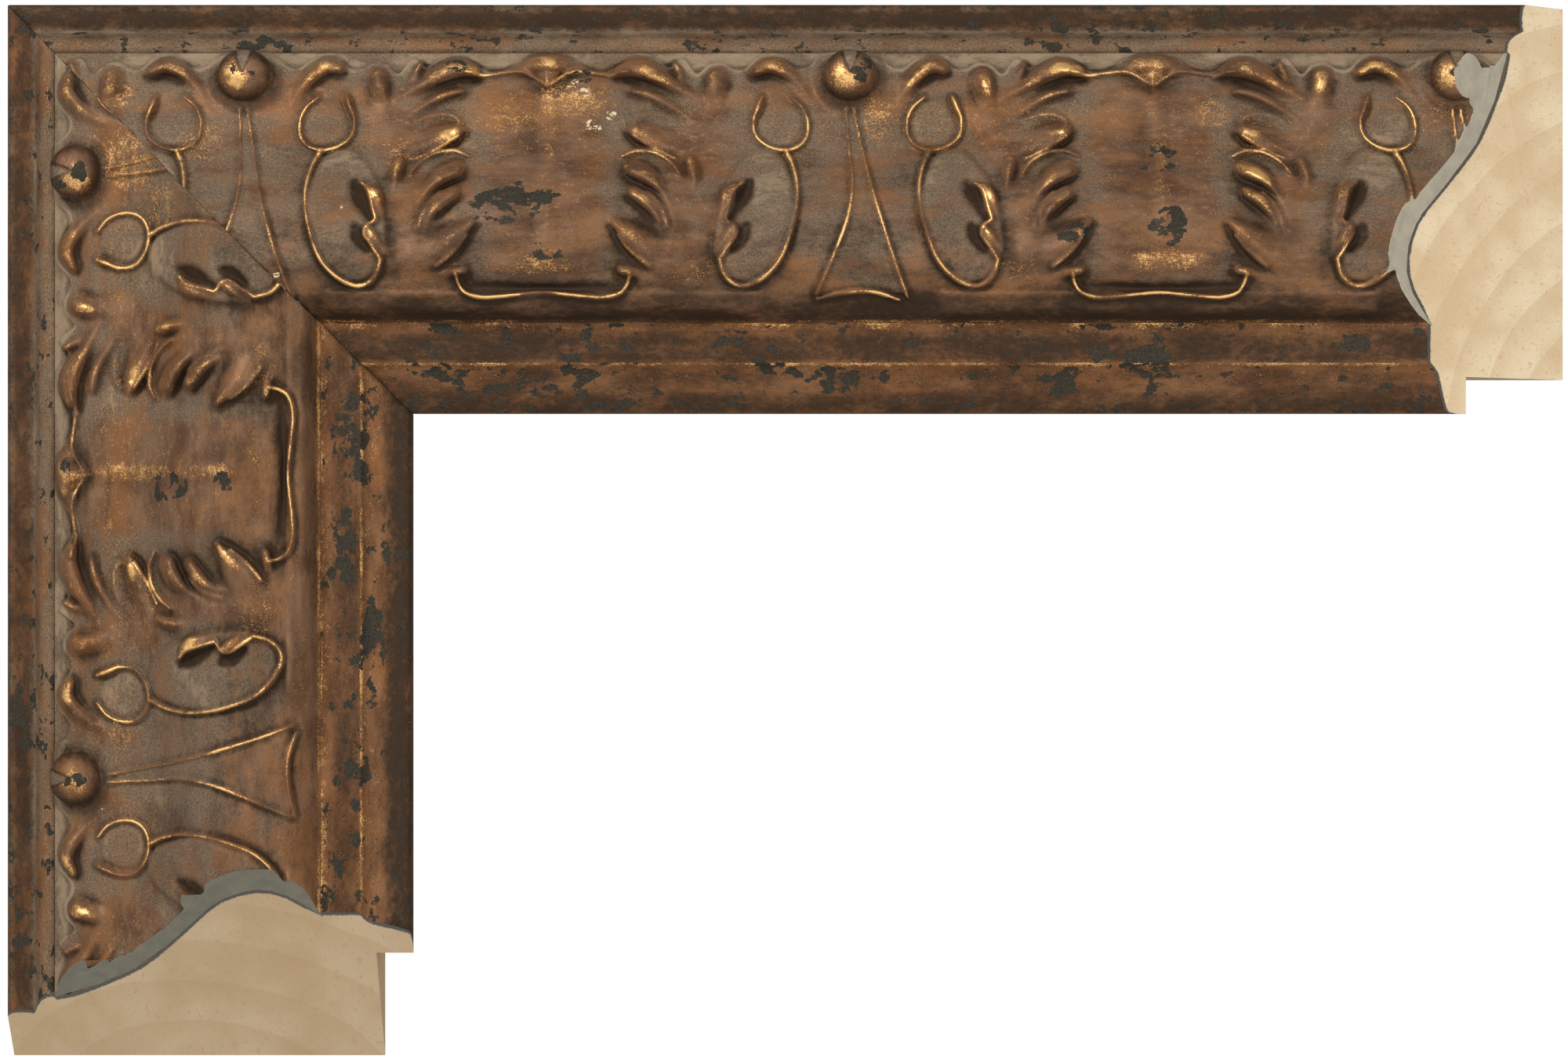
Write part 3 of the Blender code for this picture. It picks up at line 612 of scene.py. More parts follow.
SCROLL = [(14.4, 28.4, 0.55), (13.2, 31.0, 0.42), (12.4, 35.0, 0.38), (12.6, 39.5, 0.38), (13.6, 44.0, 0.38),
          (15.3, 48.4, 0.38), (18.0, 51.6, 0.42), (21.0, 53.3, 0.5), (23.6, 53.2, 0.5), (25.6, 51.4, 0.4),
          (26.4, 48.8, 0.36)]
RIM = [(39.9, 51.4, 0.4), (40.4, 53.2, 0.42), (41.8, 54.8, 0.42), (44.6, 55.5, 0.42), (48.5, 55.3, 0.38),
       (52.0, 54.9, 0.38), (HALF, 54.6, 0.38), (58.0, 54.9, 0.38)]
# Height, gilding and stroke
LIPS = [
    (0.9, 0.7, [(31.2, 32.6, 0.3), (33.0, 30.2, 0.45), (35.8, 28.6, 0.5), (38.8, 28.2, 0.5),
                (41.6, 29.4, 0.3)]),
    (0.4, 0.4, [(32.0, 22.4, 0.3), (34.6, 21.4, 0.4), (37.6, 21.3, 0.4), (39.5, 22.6, 0.4),
                (38.8, 24.4, 0.35)]),
    (0.5, 0.7, [(32.0, 29.6, 0.3), (34.2, 28.6, 0.4), (37.0, 27.2, 0.4), (39.6, 25.4, 0.35)]),
    (0.6, 0.7, [(36.4, 49.9, 0.35), (38.2, 48.6, 0.42), (40.4, 46.6, 0.42), (42.0, 44.4, 0.35)]),
    (0.4, 0.6, [(33.2, 42.6, 0.3), (33.6, 40.6, 0.4), (34.8, 38.2, 0.4), (36.6, 36.2, 0.3)]),
    (1.2, 0.8, [(40.6, 13.4, 0.45), (44.0, 13.9, 0.5), (47.0, 13.5, 0.5), (50.3, 13.3, 0.5),
                (53.0, 14.2, 0.5), (HALF, 16.0, 0.5)]),
]
LOBE_EDGES = [[(22.3, 34.4, 0.3), (23.6, 35.7, 0.42), (24.4, 38.0, 0.42), (25.3, 41.2, 0.36)],
              [(25.0, 41.6, 0.3), (23.7, 42.7, 0.36), (23.4, 44.2, 0.42), (24.6, 46.0, 0.42),
               (26.3, 48.5, 0.36)]]
DART_RIGHT = [(0.7, 20.5, 0.22), (2.2, 28.0, 0.3), (4.0, 36.0, 0.34), (6.0, 43.0, 0.36),
              (8.0, 49.5, 0.38), (10.2, 55.4, 0.3)]
DART_LEFT = [(-0.7, 20.5, 0.22), (-0.2, 28.0, 0.3), (0.3, 34.0, 0.34), (-0.4, 40.0, 0.36),
             (-2.6, 46.5, 0.38), (-6.2, 54.8, 0.3)]
DART_FOOT = [(-6.2, 55.7, 0.3), (-2.5, 54.9, 0.4), (2.2, 54.4, 0.45), (5.6, 54.9, 0.4), (8.8, 55.9, 0.3)]
LEAF_BODY = [(24.6, 16.4, 1.0), (25.4, 20.6, 2.4), (27.4, 25.6, 3.2), (30.2, 31.0, 2.0), (31.8, 37.0, 1.8),
             (32.4, 43.0, 2.2), (32.4, 49.0, 4.0), (32.0, 59.0, 9.6)]
SCROLL_DISH = [(18.8, 32.6, 4.6), (19.4, 37.0, 6.5), (20.2, 42.0, 7.0), (21.2, 46.4, 6.5)]
LOOP_DISH = [(15.4, 22.0, 3.6), (15.3, 23.2, 3.9)]
SCALLOPS = [(0.0, 9.2), (5.0, 9.6), (7.5, 12.0), (10.0, 12.2), (12.5, 10.2), (16.5, 9.8), (19.3, 12.4),
            (21.5, 12.4), (23.5, 11.2), (26.0, 11.6), (28.2, 13.4), (30.6, 10.2), (33.2, 12.0), (36.0, 10.2),
            (39.2, 9.4), (42.2, 11.6), (45.5, 13.2), (48.5, 12.2), (51.0, 10.2), (HALF, 9.4)]


def rise(relief, form, soft=0.3):
    """The higher of two forms, with a small fillet where they meet."""
    share = np.clip(0.5 + 0.5 * (form - relief) / soft, 0.0, 1.0)
    return relief + (form - relief) * share + soft * share * (1.0 - share)


def distance_past(along, across, stroke, parts=6):
    """How far each place is outside a stroke's edge, its half width there, the place from root to
    head, and which side of the stroke it lies on, from -1 to 1. Places well away from the stroke
    are left far outside."""
    line = smooth_line(stroke, parts)
    outside = np.full(along.shape, 1e3)
    half_width = np.ones(along.shape)
    place = np.zeros(along.shape)
    beside = np.zeros(along.shape)
    reach = line[:, 2].max() + 3.0
    near = ((along > line[:, 0].min() - reach) & (along < line[:, 0].max() + reach)
            & (across > line[:, 1].min() - reach) & (across < line[:, 1].max() + reach))
    x, y = along[near], across[near]
    best, wide, part, hand = outside[near], half_width[near], place[near], beside[near]
    for k, (start, end) in enumerate(zip(line[:-1], line[1:])):
        step = end[:2] - start[:2]
        t = np.clip(((x - start[0]) * step[0] + (y - start[1]) * step[1]) / (step @ step), 0.0, 1.0)
        width = start[2] + (end[2] - start[2]) * t
        off_x, off_y = x - start[0] - t * step[0], y - start[1] - t * step[1]
        away = np.hypot(off_x, off_y)
        nearer = away - width < best
        best = np.where(nearer, away - width, best)
        wide = np.where(nearer, width, wide)
        part = np.where(nearer, (k + t) / (len(line) - 1), part)
        turned = (off_y * step[0] - off_x * step[1]) / (np.hypot(*step) * np.maximum(away, 1e-6))
        hand = np.where(nearer, turned, hand)
    outside[near], half_width[near], place[near], beside[near] = best, wide, part, hand
    return outside, half_width, place, beside


def at_least(mould, field, value):
    """Raises one of the mould's fields to the value wherever it is lower."""
    mould[field] = np.maximum(mould[field], value)


def press_finger(mould, along, across, height, fullness, stroke, depth=0.5):
    """A finger or lobe that swells towards its head. Its crest lies nearer to its inner side, which
    is steep and has a groove under it. Painted shade darkens the groove on the lower side and round the
    head, and a thin line along each flank; the crest turns gold towards the head, partly worn gold and
    partly painted highlight."""
    outside, half_width, place, beside = distance_past(along, across, stroke)
    head = ease(place * 1.5)
    from_line = np.clip((outside + half_width) / half_width, 0.0, 1.5)
    tilt = 1.0 + 0.4 * beside * np.minimum(from_line, 1.0)
    falling = np.gradient(outside, axis=1) / MOULD_STEP
    shaded = 0.15 + 0.85 * np.clip(falling + 0.35, 0.0, 1.0)
    mould["relief"] -= depth * hump(outside, 0.5, 0.6) * head * shaded
    dome = np.clip(1.0 - from_line ** 2, 0.0, 1.0) ** fullness
    mould["relief"] = rise(mould["relief"], height * (0.3 + 0.7 * head) * dome * tilt, 0.6)
    # Painted shade: cleared under the finger, then a dark ring on its lower side and round its head, and a
    # thin line along each flank
    mould["crevice_shade"] *= ease(0.8 + outside / 0.7)
    at_least(mould, "crevice_shade", 0.85 * hump(outside, 0.3, 0.75) * head * shaded * depth / 0.5)
    at_least(mould, "crevice_shade", 0.34 * hump(from_line, 1.0, 0.28) * head * (outside < 1.0))
    at_least(mould, "copper", ease(0.6 - outside))
    # Gold along the crest near the head, partly worn gold and partly painted highlight
    crest = hump(beside * from_line, 0.05, 0.45) * hump(place, 0.75, 0.24)
    at_least(mould, "gilt_and_highlight", 1.1 * crest * (outside < 0) * np.minimum(height / 2.8, 1.1))


def press_wire(mould, along, across, height, stroke, gilt_and_highlight=1.0):
    """A thin raised line, gold along its top, with a shallow groove on each side darkened by painted shade.
    """
    outside, half_width, _, _ = distance_past(along, across, stroke, 8)
    off_line = outside + half_width
    mould["relief"] -= 0.12 * hump(off_line, 1.0, 0.4)
    mould["relief"] += height * np.exp(-1.3 * (off_line / half_width) ** 2)
    at_least(mould, "gilt_and_highlight", gilt_and_highlight * hump(off_line, 0.0, 0.75 * half_width))
    at_least(mould, "crevice_shade", 0.34 * gilt_and_highlight * hump(off_line, 0.75, 0.35))


def press_plateau(mould, along, across, height, stroke, slope, soft=0.3):
    """A broad raised area with sloping sides."""
    outside = distance_past(along, across, stroke)[0]
    mould["relief"] = rise(mould["relief"], height * ease(0.5 - outside / slope), soft)
    return outside


def carve_mould(side, across):
    """One repeat of the pattern: the height of the carving over its ground, where copper shows, where
    painted shade and gold with painted highlight go, and where the grey coat lies. Places are counted from
    the ball, negative on its left."""
    on_left = side < 0
    along = np.abs(side)
    scroll = along + np.where(on_left, SCROLL_SHIFT, 0.0)
    middle = HALF - along

    # The cushion of the cartouche with its crease, and the channel outside the scroll
    from_middle = (np.abs(middle) / 19.0) ** 3 + (np.abs(across - 33.8) / 22.0) ** 4
    relief = 2.2 * np.clip(1.0 - from_middle, 0.0, 1.0) ** 0.8
    from_crease = np.where(on_left, middle, -middle)
    crease = ease((across - 15.0) / 3.0) * ease((50.0 - across) / 10.0)
    relief += crease * (0.35 * hump(from_crease, 0.9, 1.1) - 0.3 * hump(from_crease, -1.8, 1.6))
    channel = hump(scroll, 9.8, 2.7) * ease((across - 25) / 5) * ease((56 - across) / 8)
    relief -= 0.8 * channel
    mould = {"relief": relief, **{each: np.zeros(side.shape) for each in ("crevice_shade", "copper", "gilt_and_highlight")}}

    # Broad forms
    in_scroll = press_plateau(mould, scroll, across, 1.6, SCROLL_DISH, 1.1)
    in_loop = press_plateau(mould, scroll, across, 0.8, LOOP_DISH, 1.0)
    in_body = press_plateau(mould, along, across, 1.0, LEAF_BODY, 9.0, 1.2)
    foot = ease((along - 13.0) / 5.0) * ease((across - 53.2) / 1.6) * ease((60.3 - across) / 3.4)
    mould["relief"] = rise(mould["relief"], 1.7 * foot, 0.4)
    # Hollows beside the scroll's lobes and a trough beside the leaf body, each darkened with painted shade
    for stroke in HOLLOWS:
        outside = distance_past(scroll, across, stroke)[0]
        mould["relief"] -= 1.1 * ease(0.6 - outside / 1.4)
        at_least(mould, "crevice_shade", 0.8 * ease(0.4 - outside / 1.6))
    in_trough = distance_past(scroll, across, TROUGH)[0]
    mould["relief"] -= 0.8 * ease(0.5 - in_trough / 4.5)
    at_least(mould, "crevice_shade", 0.45 * ease(0.4 - in_trough / 3.0))

    # Fingers, lobes, commas and the crest, then the wires over them
    for height, fullness, stroke in FINGERS:
        press_finger(mould, along, across, height, fullness, stroke)
    for height, fullness, stroke in LOBES:
        press_finger(mould, scroll, across, height, fullness, stroke, 0.25)
    press_finger(mould, np.where(on_left, FAR_AWAY, along), across, 2.6, 0.8, COMMA_RIGHT)
    press_finger(mould, np.where(on_left, along, FAR_AWAY), across, 2.6, 0.8, COMMA_LEFT)
    press_finger(mould, along, across, 3.5, 0.8, CREST)
    mould["relief"] = blurred(mould["relief"], 0.28 / MOULD_STEP)
    press_wire(mould, scroll, across, 0.95, LOOP)
    press_wire(mould, scroll, across, 1.05, SCROLL)
    press_wire(mould, along, across, 1.0, RIM)
    for height, gilt_and_highlight, stroke in LIPS:
        press_wire(mould, along, across, height, stroke, gilt_and_highlight)
    beak = 1.0 - np.abs(middle) / np.maximum(4.4 - 1.15 * (across - 12.6), 0.4)
    beak = np.clip(beak * ease((16.8 - across) / 0.8), 0.0, 1.0)
    mould["relief"] = rise(mould["relief"], 3.0 * beak ** 0.6 * ease((across - 11.0) / 1.5))
    # Gold on the crest's beak: painted highlight
    at_least(mould, "gilt_and_highlight", 0.8 * beak ** 0.5 * ease((across - 11.0) / 2.0))
    for stroke in LOBE_EDGES:
        press_wire(mould, scroll, across, 0.6, stroke)

    # The dart under the ball, and the scalloped outer edge
    left, right = (np.interp(across, [p[1] for p in line], [p[0] for p in line])
                   for line in (DART_LEFT, DART_RIGHT))
    panel = ease(side - left) * ease(right - side) * ease((across - 20.5) / 2) * ease(55.3 - across)
    mould["relief"] += 0.45 * panel
    for stroke in (DART_LEFT, DART_RIGHT, DART_FOOT):
        press_wire(mould, side, across, 0.85, stroke, 0.85)
    scalloped = smooth_line(SCALLOPS)
    edge = np.interp(along, scalloped[:, 0], scalloped[:, 1])
    rim = hump(across - edge, 0.35, 0.35)
    mould["relief"] -= 0.7 * ease((edge - across) / 1.1 + 0.7)
    mould["relief"] += 0.22 * rim
    above_rim = ease((15.0 - middle) / 8.0) * hump(across - 53.3, 0.5 * hump(middle, 0.0, 7.0), 0.9)
    mould["relief"] -= 0.4 * above_rim

    # Where copper shows through the grey, where painted shade goes and where gold and painted highlight go
    heart = ease((12.0 - middle) / 4.0) * ease((across - 16.0) / 2.0) * ease((52.8 - across) / 2.0)
    between = 0.75 * hump(scroll, 7.0, 3.0) * hump(across, 21.5, 4.5)
    copper = np.maximum.reduce([mould["copper"], ease(0.85 - in_body / 2.8), 0.85 * heart, foot, between])
    plain = 0.70 + 0.12 * np.maximum(ease(0.5 - in_scroll), ease(0.5 - in_loop))
    plain = np.maximum(plain, ease((13.4 - across) / 2.0))
    # Grey wash where no copper shows, plus a pale line along the top of the scalloped step: painted
    # highlight
    mould["wash_and_rim_highlight"] = (plain * (1.0 - copper)
                     + 0.6 * rim * ease((along - 5.0) / 2.0) * (1.0 - mould["copper"]))
    # Painted shadow under the crest, and painted shade above the rim, in the cartouche's margins, in the
    # channel outside the scroll and on the shaded side of the crease
    under_crest = hump(middle, 0.0, 6.5) * hump(across + 0.32 * np.abs(middle), 17.2, 0.9)
    margin = hump(middle, 14.2, 2.2) * ease((across - 26.0) / 6.0) * ease((54.0 - across) / 4.0)
    for strength, shadow in ((0.9, under_crest), (0.62, above_rim), (0.32, margin),
                             (0.32, channel * ease((41.0 - across) / 8.0)),
                             (0.4, hump(from_crease, -3.0, 2.6) * hump(across, 27.0, 7.0))):
        at_least(mould, "crevice_shade", strength * shadow)
    # Gold as painted highlight on the lit wall of the crease and as painted sheen along the foot of the
    # cartouche, and a patch of gold on each side of the cartouche's upper half
    for strength, bright in ((0.33, crease * hump(from_crease, 1.0, 1.8)),
                             (0.30, hump(middle, 0.0, 9.0, 4) * hump(across, 48.5, 2.2)),
                             (0.26, hump(middle, 8.5, 2.2) * hump(across, 22.0, 6.0))):
        at_least(mould, "gilt_and_highlight", strength * bright)
    return mould


def blurred(field, size):
    """Softens a field over the given size in mould steps; it joins up with itself along the rail."""
    reach = int(3 * size + 1)
    weights = np.exp(-0.5 * (np.arange(-reach, reach + 1) / size) ** 2)
    weights /= weights.sum()
    across = np.pad(field, ((0, 0), (reach, reach)), mode="edge")
    across = sum(w * across[:, k:k + field.shape[1]] for k, w in enumerate(weights))
    along = np.pad(across, ((reach, reach), (0, 0)), mode="wrap")
    return sum(w * along[k:k + field.shape[0]] for k, w in enumerate(weights))


def make_mould():
    """Works out one repeat on a fine grid: height over the ground, the grey coat, painted shade
    softened over a wider reach, and from the height how proud or how deep each place stands, which is where
    rubbing and painted shade go."""
    side = np.arange(-HALF, HALF, MOULD_STEP)
    across = np.arange(8.0, 62.0, MOULD_STEP)
    places = np.meshgrid(side, across, indexing="ij")
    mould = carve_mould(*places)
    relief = mould["relief"]
    mould["shade"] = blurred(mould["crevice_shade"], 1.1 / MOULD_STEP)
    under_ball = BALL["radius"] ** 2 - places[0] ** 2 - (places[1] - BALL["across"]) ** 2
    ball = BALL["height"] + np.sqrt(np.clip(under_ball, 0.0, None)) - ground_height(places[1])
    whole = np.where(under_ball > 0, np.maximum(relief, ball), relief)
    mould["fine"] = whole - blurred(whole, 0.5 / MOULD_STEP)
    mould["broad"] = whole - blurred(whole, 1.8 / MOULD_STEP)
    return {"side": side, "across": across, **mould}


def ground_height(across):
    line = smooth_line(GROUND)
    return np.interp(across, line[:, 0], line[:, 1])


def read_mould(name, side, across):
    """The mould's value at any places, between its grid points."""
    field = mould[name]
    column = (side - mould["side"][0]) / MOULD_STEP
    row = np.clip((across - mould["across"][0]) / MOULD_STEP, 0, field.shape[1] - 1.001)
    whole_column, whole_row = np.floor(column).astype(int), np.floor(row).astype(int)
    t, v = column - whole_column, row - whole_row
    here, beyond = whole_column % field.shape[0], (whole_column + 1) % field.shape[0]
    low = field[here, whole_row] * (1 - t) + field[beyond, whole_row] * t
    high = field[here, whole_row + 1] * (1 - t) + field[beyond, whole_row + 1] * t
    return low * (1 - v) + high * v


def from_ball(along, first_ball):
    return (along - first_ball + HALF) % REPEAT - HALF


def ball_notch(side, across):
    """The notch in the outer side of each ball, running out at its middle: 1 inside it."""
    above_foot = NOTCH_FOOT - across
    return ease((0.34 * above_foot - np.abs(side)) / 0.9 + 0.5) * ease(above_foot / 1.2)


def strip_height(along, across, first_ball, seed):
    """Height of the ornament's face above the back."""
    side = from_ball(along, first_ball)
    line = smooth_line(GROUND)
    slope = np.interp(across, line[:, 0], np.gradient(line[:, 1], line[:, 0]))
    fade = ease((across - 9.3) / 1.2) * ease((STRIP_INNER - across) / 2.0)
    wander = 0.18 * soft_noise(along, across, 9.0, seed) + 0.08 * soft_noise(along, across, 2.4, seed + 1)
    lift = read_mould("relief", side, across) * np.sqrt(1.0 + slope ** 2) + wander
    height = ground_height(across) + lift * fade
    under_ball = BALL["radius"] ** 2 - side ** 2 - (across - BALL["across"]) ** 2
    ball = BALL["height"] + np.sqrt(np.clip(under_ball, 0.0, None)) + wander - 0.6 * ball_notch(side, across)
    past_ball = np.hypot(side, across - BALL["across"]) - BALL["radius"]
    height = height + BALL["collar"] * ease(0.9 - past_ball / BALL["collar_width"])
    return np.where(under_ball > 0, np.maximum(height, ball), height)


def pressed_strip(name, start, end, first_ball, seed):
    """The strip before it is cut: a grid with rows evenly spaced over the hump, lifted to the
    carving, with thin sides and an underside that follows the timber."""
    line = smooth_line(GROUND, 20)
    line = line[(line[:, 0] > STRIP_OUTER) & (line[:, 0] < STRIP_INNER)]
    walked = np.concatenate([[0.0], np.cumsum(np.hypot(*np.diff(line, axis=0).T))])
    rows = round(walked[-1] / STRIP_STEP)
    columns = round((end - start) / STRIP_STEP)
    strip = start_piece(bpy.ops.mesh.primitive_grid_add, name, x_subdivisions=columns,
                        y_subdivisions=rows, size=1)
    points = coordinates(strip)
    along = start + (points[:, 0] + 0.5) * (end - start)
    across = np.interp((0.5 - points[:, 1]) * walked[-1], walked, line[:, 0])
    across[points[:, 1] > 0.4999] = STRIP_OUTER
    across[points[:, 1] < -0.4999] = STRIP_INNER
    height = strip_height(along, across, first_ball, seed)
    move_points(strip, np.column_stack([along, -across, height]) * MM)
    first, last = edge_ends(strip)
    at_side = np.zeros(len(first), dtype=bool)
    for border in (STRIP_OUTER * MM, STRIP_INNER * MM):
        at_side |= (np.abs(first[:, 1] + border) < 1e-7) & (np.abs(last[:, 1] + border) < 1e-7)
    choose(strip, "edges", at_side)
    made = len(strip.data.vertices)
    edit(strip, lambda: bpy.ops.mesh.extrude_edges_move(TRANSFORM_OT_translate={"value": (0, 0, -0.0005)}),
         lambda: bpy.ops.mesh.bridge_edge_loops(number_cuts=SIDE_ROWS))
    points = coordinates(strip) / MM
    bed = smooth_line(BED, 6)
    under = np.interp(-points[:, 1], bed[:, 0], bed[:, 1]) + 0.06
    points[made:, 2] = under[made:]
    move_points(strip, points * MM)
    edit(strip, select_everything, lambda: bpy.ops.mesh.normals_make_consistent(inside=False))
    thin = strip.modifiers.new("thin", "DECIMATE")
    thin.ratio = STRIP_KEEP
    bpy.ops.object.modifier_apply(modifier="thin")
    return strip


def finish_strip(strip, hand, first_ball, seed, run_offset, foot_shade, edge_rub, patches, flecks, gilding):
    """Gives the cut strip's faces their materials and its points their grey coat, gold, painted highlights,
    painted shade and wear.
    """
    normals = face_facts(strip)[1]
    sawn, mitre = cut_faces(normals, hand, 0.9999)
    under = normals[:, 2] < -0.05
    areas = np.empty(len(strip.data.polygons))
    strip.data.polygons.foreach_get("area", areas)
    cut = ((sawn & (normals[:, 2] > 0.5)) | mitre) & (areas > WHOLE_CUT)
    slot = np.where(under | cut, 1, 0)
    strip.data.polygons.foreach_set("material_index", slot)
    strip.data.polygons.foreach_set("use_smooth", slot == 0)
    along, across, height = rail_places(strip)
    side = from_ball(along, first_ball)
    fine, broad, wash_and_rim_highlight, crevice_shade, gilt_and_highlight, shade = (read_mould(each, side, across) for each in
                                               ("fine", "broad", "wash_and_rim_highlight", "crevice_shade", "gilt_and_highlight", "shade"))
    from_top = np.hypot(side, across - BALL["across"])
    on_ball = ease((BALL["radius"] + 0.1 - from_top) / 0.3)
    notch = ball_notch(side, across) * on_ball
    patchy, blotchy = soft_noise(along, across, 7.0, seed + 2), soft_noise(along, across, 2.6, seed + 3)

    # Gold on what stands proud, along the inner edge and where the face has been rubbed, with the mould's
    # painted highlights and a painted highlight on each ball
    rub_and_highlight = 0.62 * ease((broad - 0.15) / 0.9) * (0.8 + 0.3 * patchy + 0.4 * blotchy)
    rub_and_highlight = np.maximum(rub_and_highlight, 0.2 * hump(across, 25.0, 9.0, 4) * (1.0 + 0.6 * patchy))
    rub_and_highlight = np.maximum(rub_and_highlight, gilt_and_highlight * (0.80 + 0.7 * patchy + 0.45 * blotchy)) * ease((57.5 - across) / 1.5)
    for strength, away in spots(along, across, gilding):
        rub_and_highlight = np.maximum(rub_and_highlight, rub_and_highlight * 0.6 + strength * ease(1.5 - away))
    # Painted highlight on each ball, brightest left of its top, kept off the notch
    from_glint = np.hypot(side + 1.2, across - BALL["across"] - 0.2)
    ball_highlight = (0.72 + 0.3 * blotchy) * ease((4.4 - from_glint) / 3.4)
    rub_and_highlight = rub_and_highlight * (1 - on_ball) + (on_ball - notch) * ball_highlight
    edge = edge_rub * (0.8 + 0.6 * patchy + 0.3 * blotchy) * hump(across, 59.6, 0.4)

    # Painted shade, with some umber patina, in what lies low, along the foot, over the lower part of the
    # strip and towards the edge of each ball and its notch, with a little random darkening
    foot = ease((across - 52.6) / 4.2 + 0.12 * patchy) * ease((60.3 - across) / 0.8)
    dark = (0.55 * crevice_shade + 0.6 * shade) * (1.0 - gilt_and_highlight) - 0.7 * np.clip(fine, -0.5, 0.2)
    dark = dark - 0.45 * np.clip(broad, -0.7, 0.6) + 0.33 * hump(across, 48.0, 7.0, 4)
    dark = dark * (0.25 + 0.75 * ease((across - 10.0) / 2.2)) + foot_shade * foot
    ball_shade = 0.25 + 0.5 * ease((from_top - 2.8) / 2.2) + 2.4 * notch * (1.0 - notch) - 0.3 * notch
    dark = dark * (1 - on_ball) + ball_shade * on_ball + 0.15 * patchy

    # Grey wash and dust with the painted highlight along the scalloped edge, worn patches and flecks
    pale = 0.6 * hump(across, 11.0, 2.3) + 0.17 * hump(across, 27.0, 8.0, 4)
    dust_and_highlight = (wash_and_rim_highlight + pale) * (0.9 + 0.35 * patchy) - foot - gilt_and_highlight
    worn = 0.16 + 0.24 * ease((3.8 - from_top) / 2.0) * (1 - notch)
    for strength, away in spots(along, across, patches):
        worn = np.maximum(worn, 0.16 + strength * ease(1.7 - away))
    fleck = np.full(len(along), 0.2)
    for middle_along, middle_across, size in flecks:
        away = np.hypot(along - middle_along, across - middle_across)
        fleck = np.maximum(fleck, 0.62 * ease(1.6 - away / size))
    attribute(strip, "rail_place", np.column_stack([along + run_offset, across, height]), "FLOAT_VECTOR")
    attribute(strip, "rub_and_highlight", rub_and_highlight + edge)
    attribute(strip, "dark", np.clip(dark, 0.0, 1.0))
    attribute(strip, "dust_and_highlight", np.clip(dust_and_highlight * (1 - on_ball) + 0.95 * notch, 0.0, 1.6))
    attribute(strip, "fleck", fleck)
    attribute(strip, "worn", worn)


def cut_composition(name, light, mid, speck):
    """The grey body of the composition, smooth and dense where it is sawn."""
    made, tree, shader = new_material(name)
    place = reading(tree, "rail_place", "Vector")
    cloud = grain(tree, place, (1.0, 1.0, 1.0), 0.35, 3.0)
    fine = grain(tree, place, (1.0, 1.0, 1.0), 4.0, 3.0)
    color = blend(tree, ramp(tree, cloud, 0.3, 0.7), mid, light)
    color = blend(tree, ramp(tree, fine, 0.55, 0.8, 0.0, 0.4), color, speck)
    tree.links.new(color, shader.inputs["Base Color"])
    shader.inputs["Roughness"].default_value = 0.75
    return made


mould = make_mould()
strip_finish = bronze_finish("bronze rubbed on composition", (0.095, 0.048, 0.028), (0.196, 0.107, 0.060),
                             (0.215, 0.095, 0.037), (0.104, 0.075, 0.049), (0.200, 0.148, 0.101), 0.16)
grey_body = cut_composition("grey composition", (0.47, 0.415, 0.31), (0.38, 0.34, 0.26), (0.28, 0.265, 0.22))
# Worn patches: along the rail, across, half length, half width, strength
TOP_PATCHES = [(95.0, 38.5, 7.0, 3.6, 0.52), (100.0, 47.0, 4.5, 1.6, 0.46), (213.5, 42.6, 3.4, 3.4, 0.55),
               (196.4, 43.8, 3.2, 1.8, 0.5), (212.0, 30.0, 4.0, 2.6, 0.36), (107.0, 14.0, 2.0, 1.2, 0.45),
               (43.2, 12.0, 0.8, 1.8, 0.5), (47.0, 12.6, 1.0, 2.0, 0.5), (158.0, 14.2, 2.2, 1.5, 0.56),
               (158.9, 12.2, 1.0, 1.8, 0.5), (266.6, 13.8, 1.2, 1.0, 0.5), (84.0, 12.3, 2.4, 1.1, 0.46)]
# Places where the finish has flaked to the pale size: along the rail, across, size
TOP_FLECKS = [(105.8, 15.4, 1.3), (107.6, 17.1, 1.3), (112.3, 21.4, 1.5), (109.3, 23.5, 1.5),
              (113.6, 20.6, 0.9), (36.0, 26.0, 0.5), (150.0, 26.5, 0.4), (163.5, 12.4, 0.5),
              (52.5, 51.5, 0.7), (64.0, 39.0, 0.7)]
# Places rubbed to a mottled gold: along the rail, across, half length, half width, strength
TOP_GILDING = [(105.0, 18.0, 7.0, 4.0, 0.42), (94.0, 21.5, 5.5, 3.4, 0.30), (98.5, 50.0, 9.0, 1.6, 0.33),
               (213.0, 49.0, 8.0, 2.0, 0.34), (222.5, 21.0, 4.0, 3.0, 0.32), (186.0, 50.5, 5.0, 3.0, 0.28),
               (161.0, 22.0, 2.6, 5.5, 0.34), (22.5, 17.5, 2.5, 3.0, 0.38), (38.0, 27.0, 5.0, 4.5, 0.30),
               (74.0, 29.0, 3.0, 4.0, 0.28), (128.0, 51.0, 4.5, 3.0, 0.32)]

top_strip = pressed_strip("top_rail_pressed_ornament", -SAW_WASTE, TOP_LENGTH - CUT_BEFORE_END,
                          TOP_FIRST_BALL, 51)
cut_to_length(top_strip, 1, TOP_LENGTH)
# On the top rail the foot faces down and gets strong painted shade
finish_strip(top_strip, 1, TOP_FIRST_BALL, 61, 0.0, 0.75, 0.45, TOP_PATCHES, TOP_FLECKS, TOP_GILDING)
dress(top_strip, strip_finish, grey_body)
put_in_place(top_strip, False)
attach(top_strip, "root")
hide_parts("top_rail_ornament")

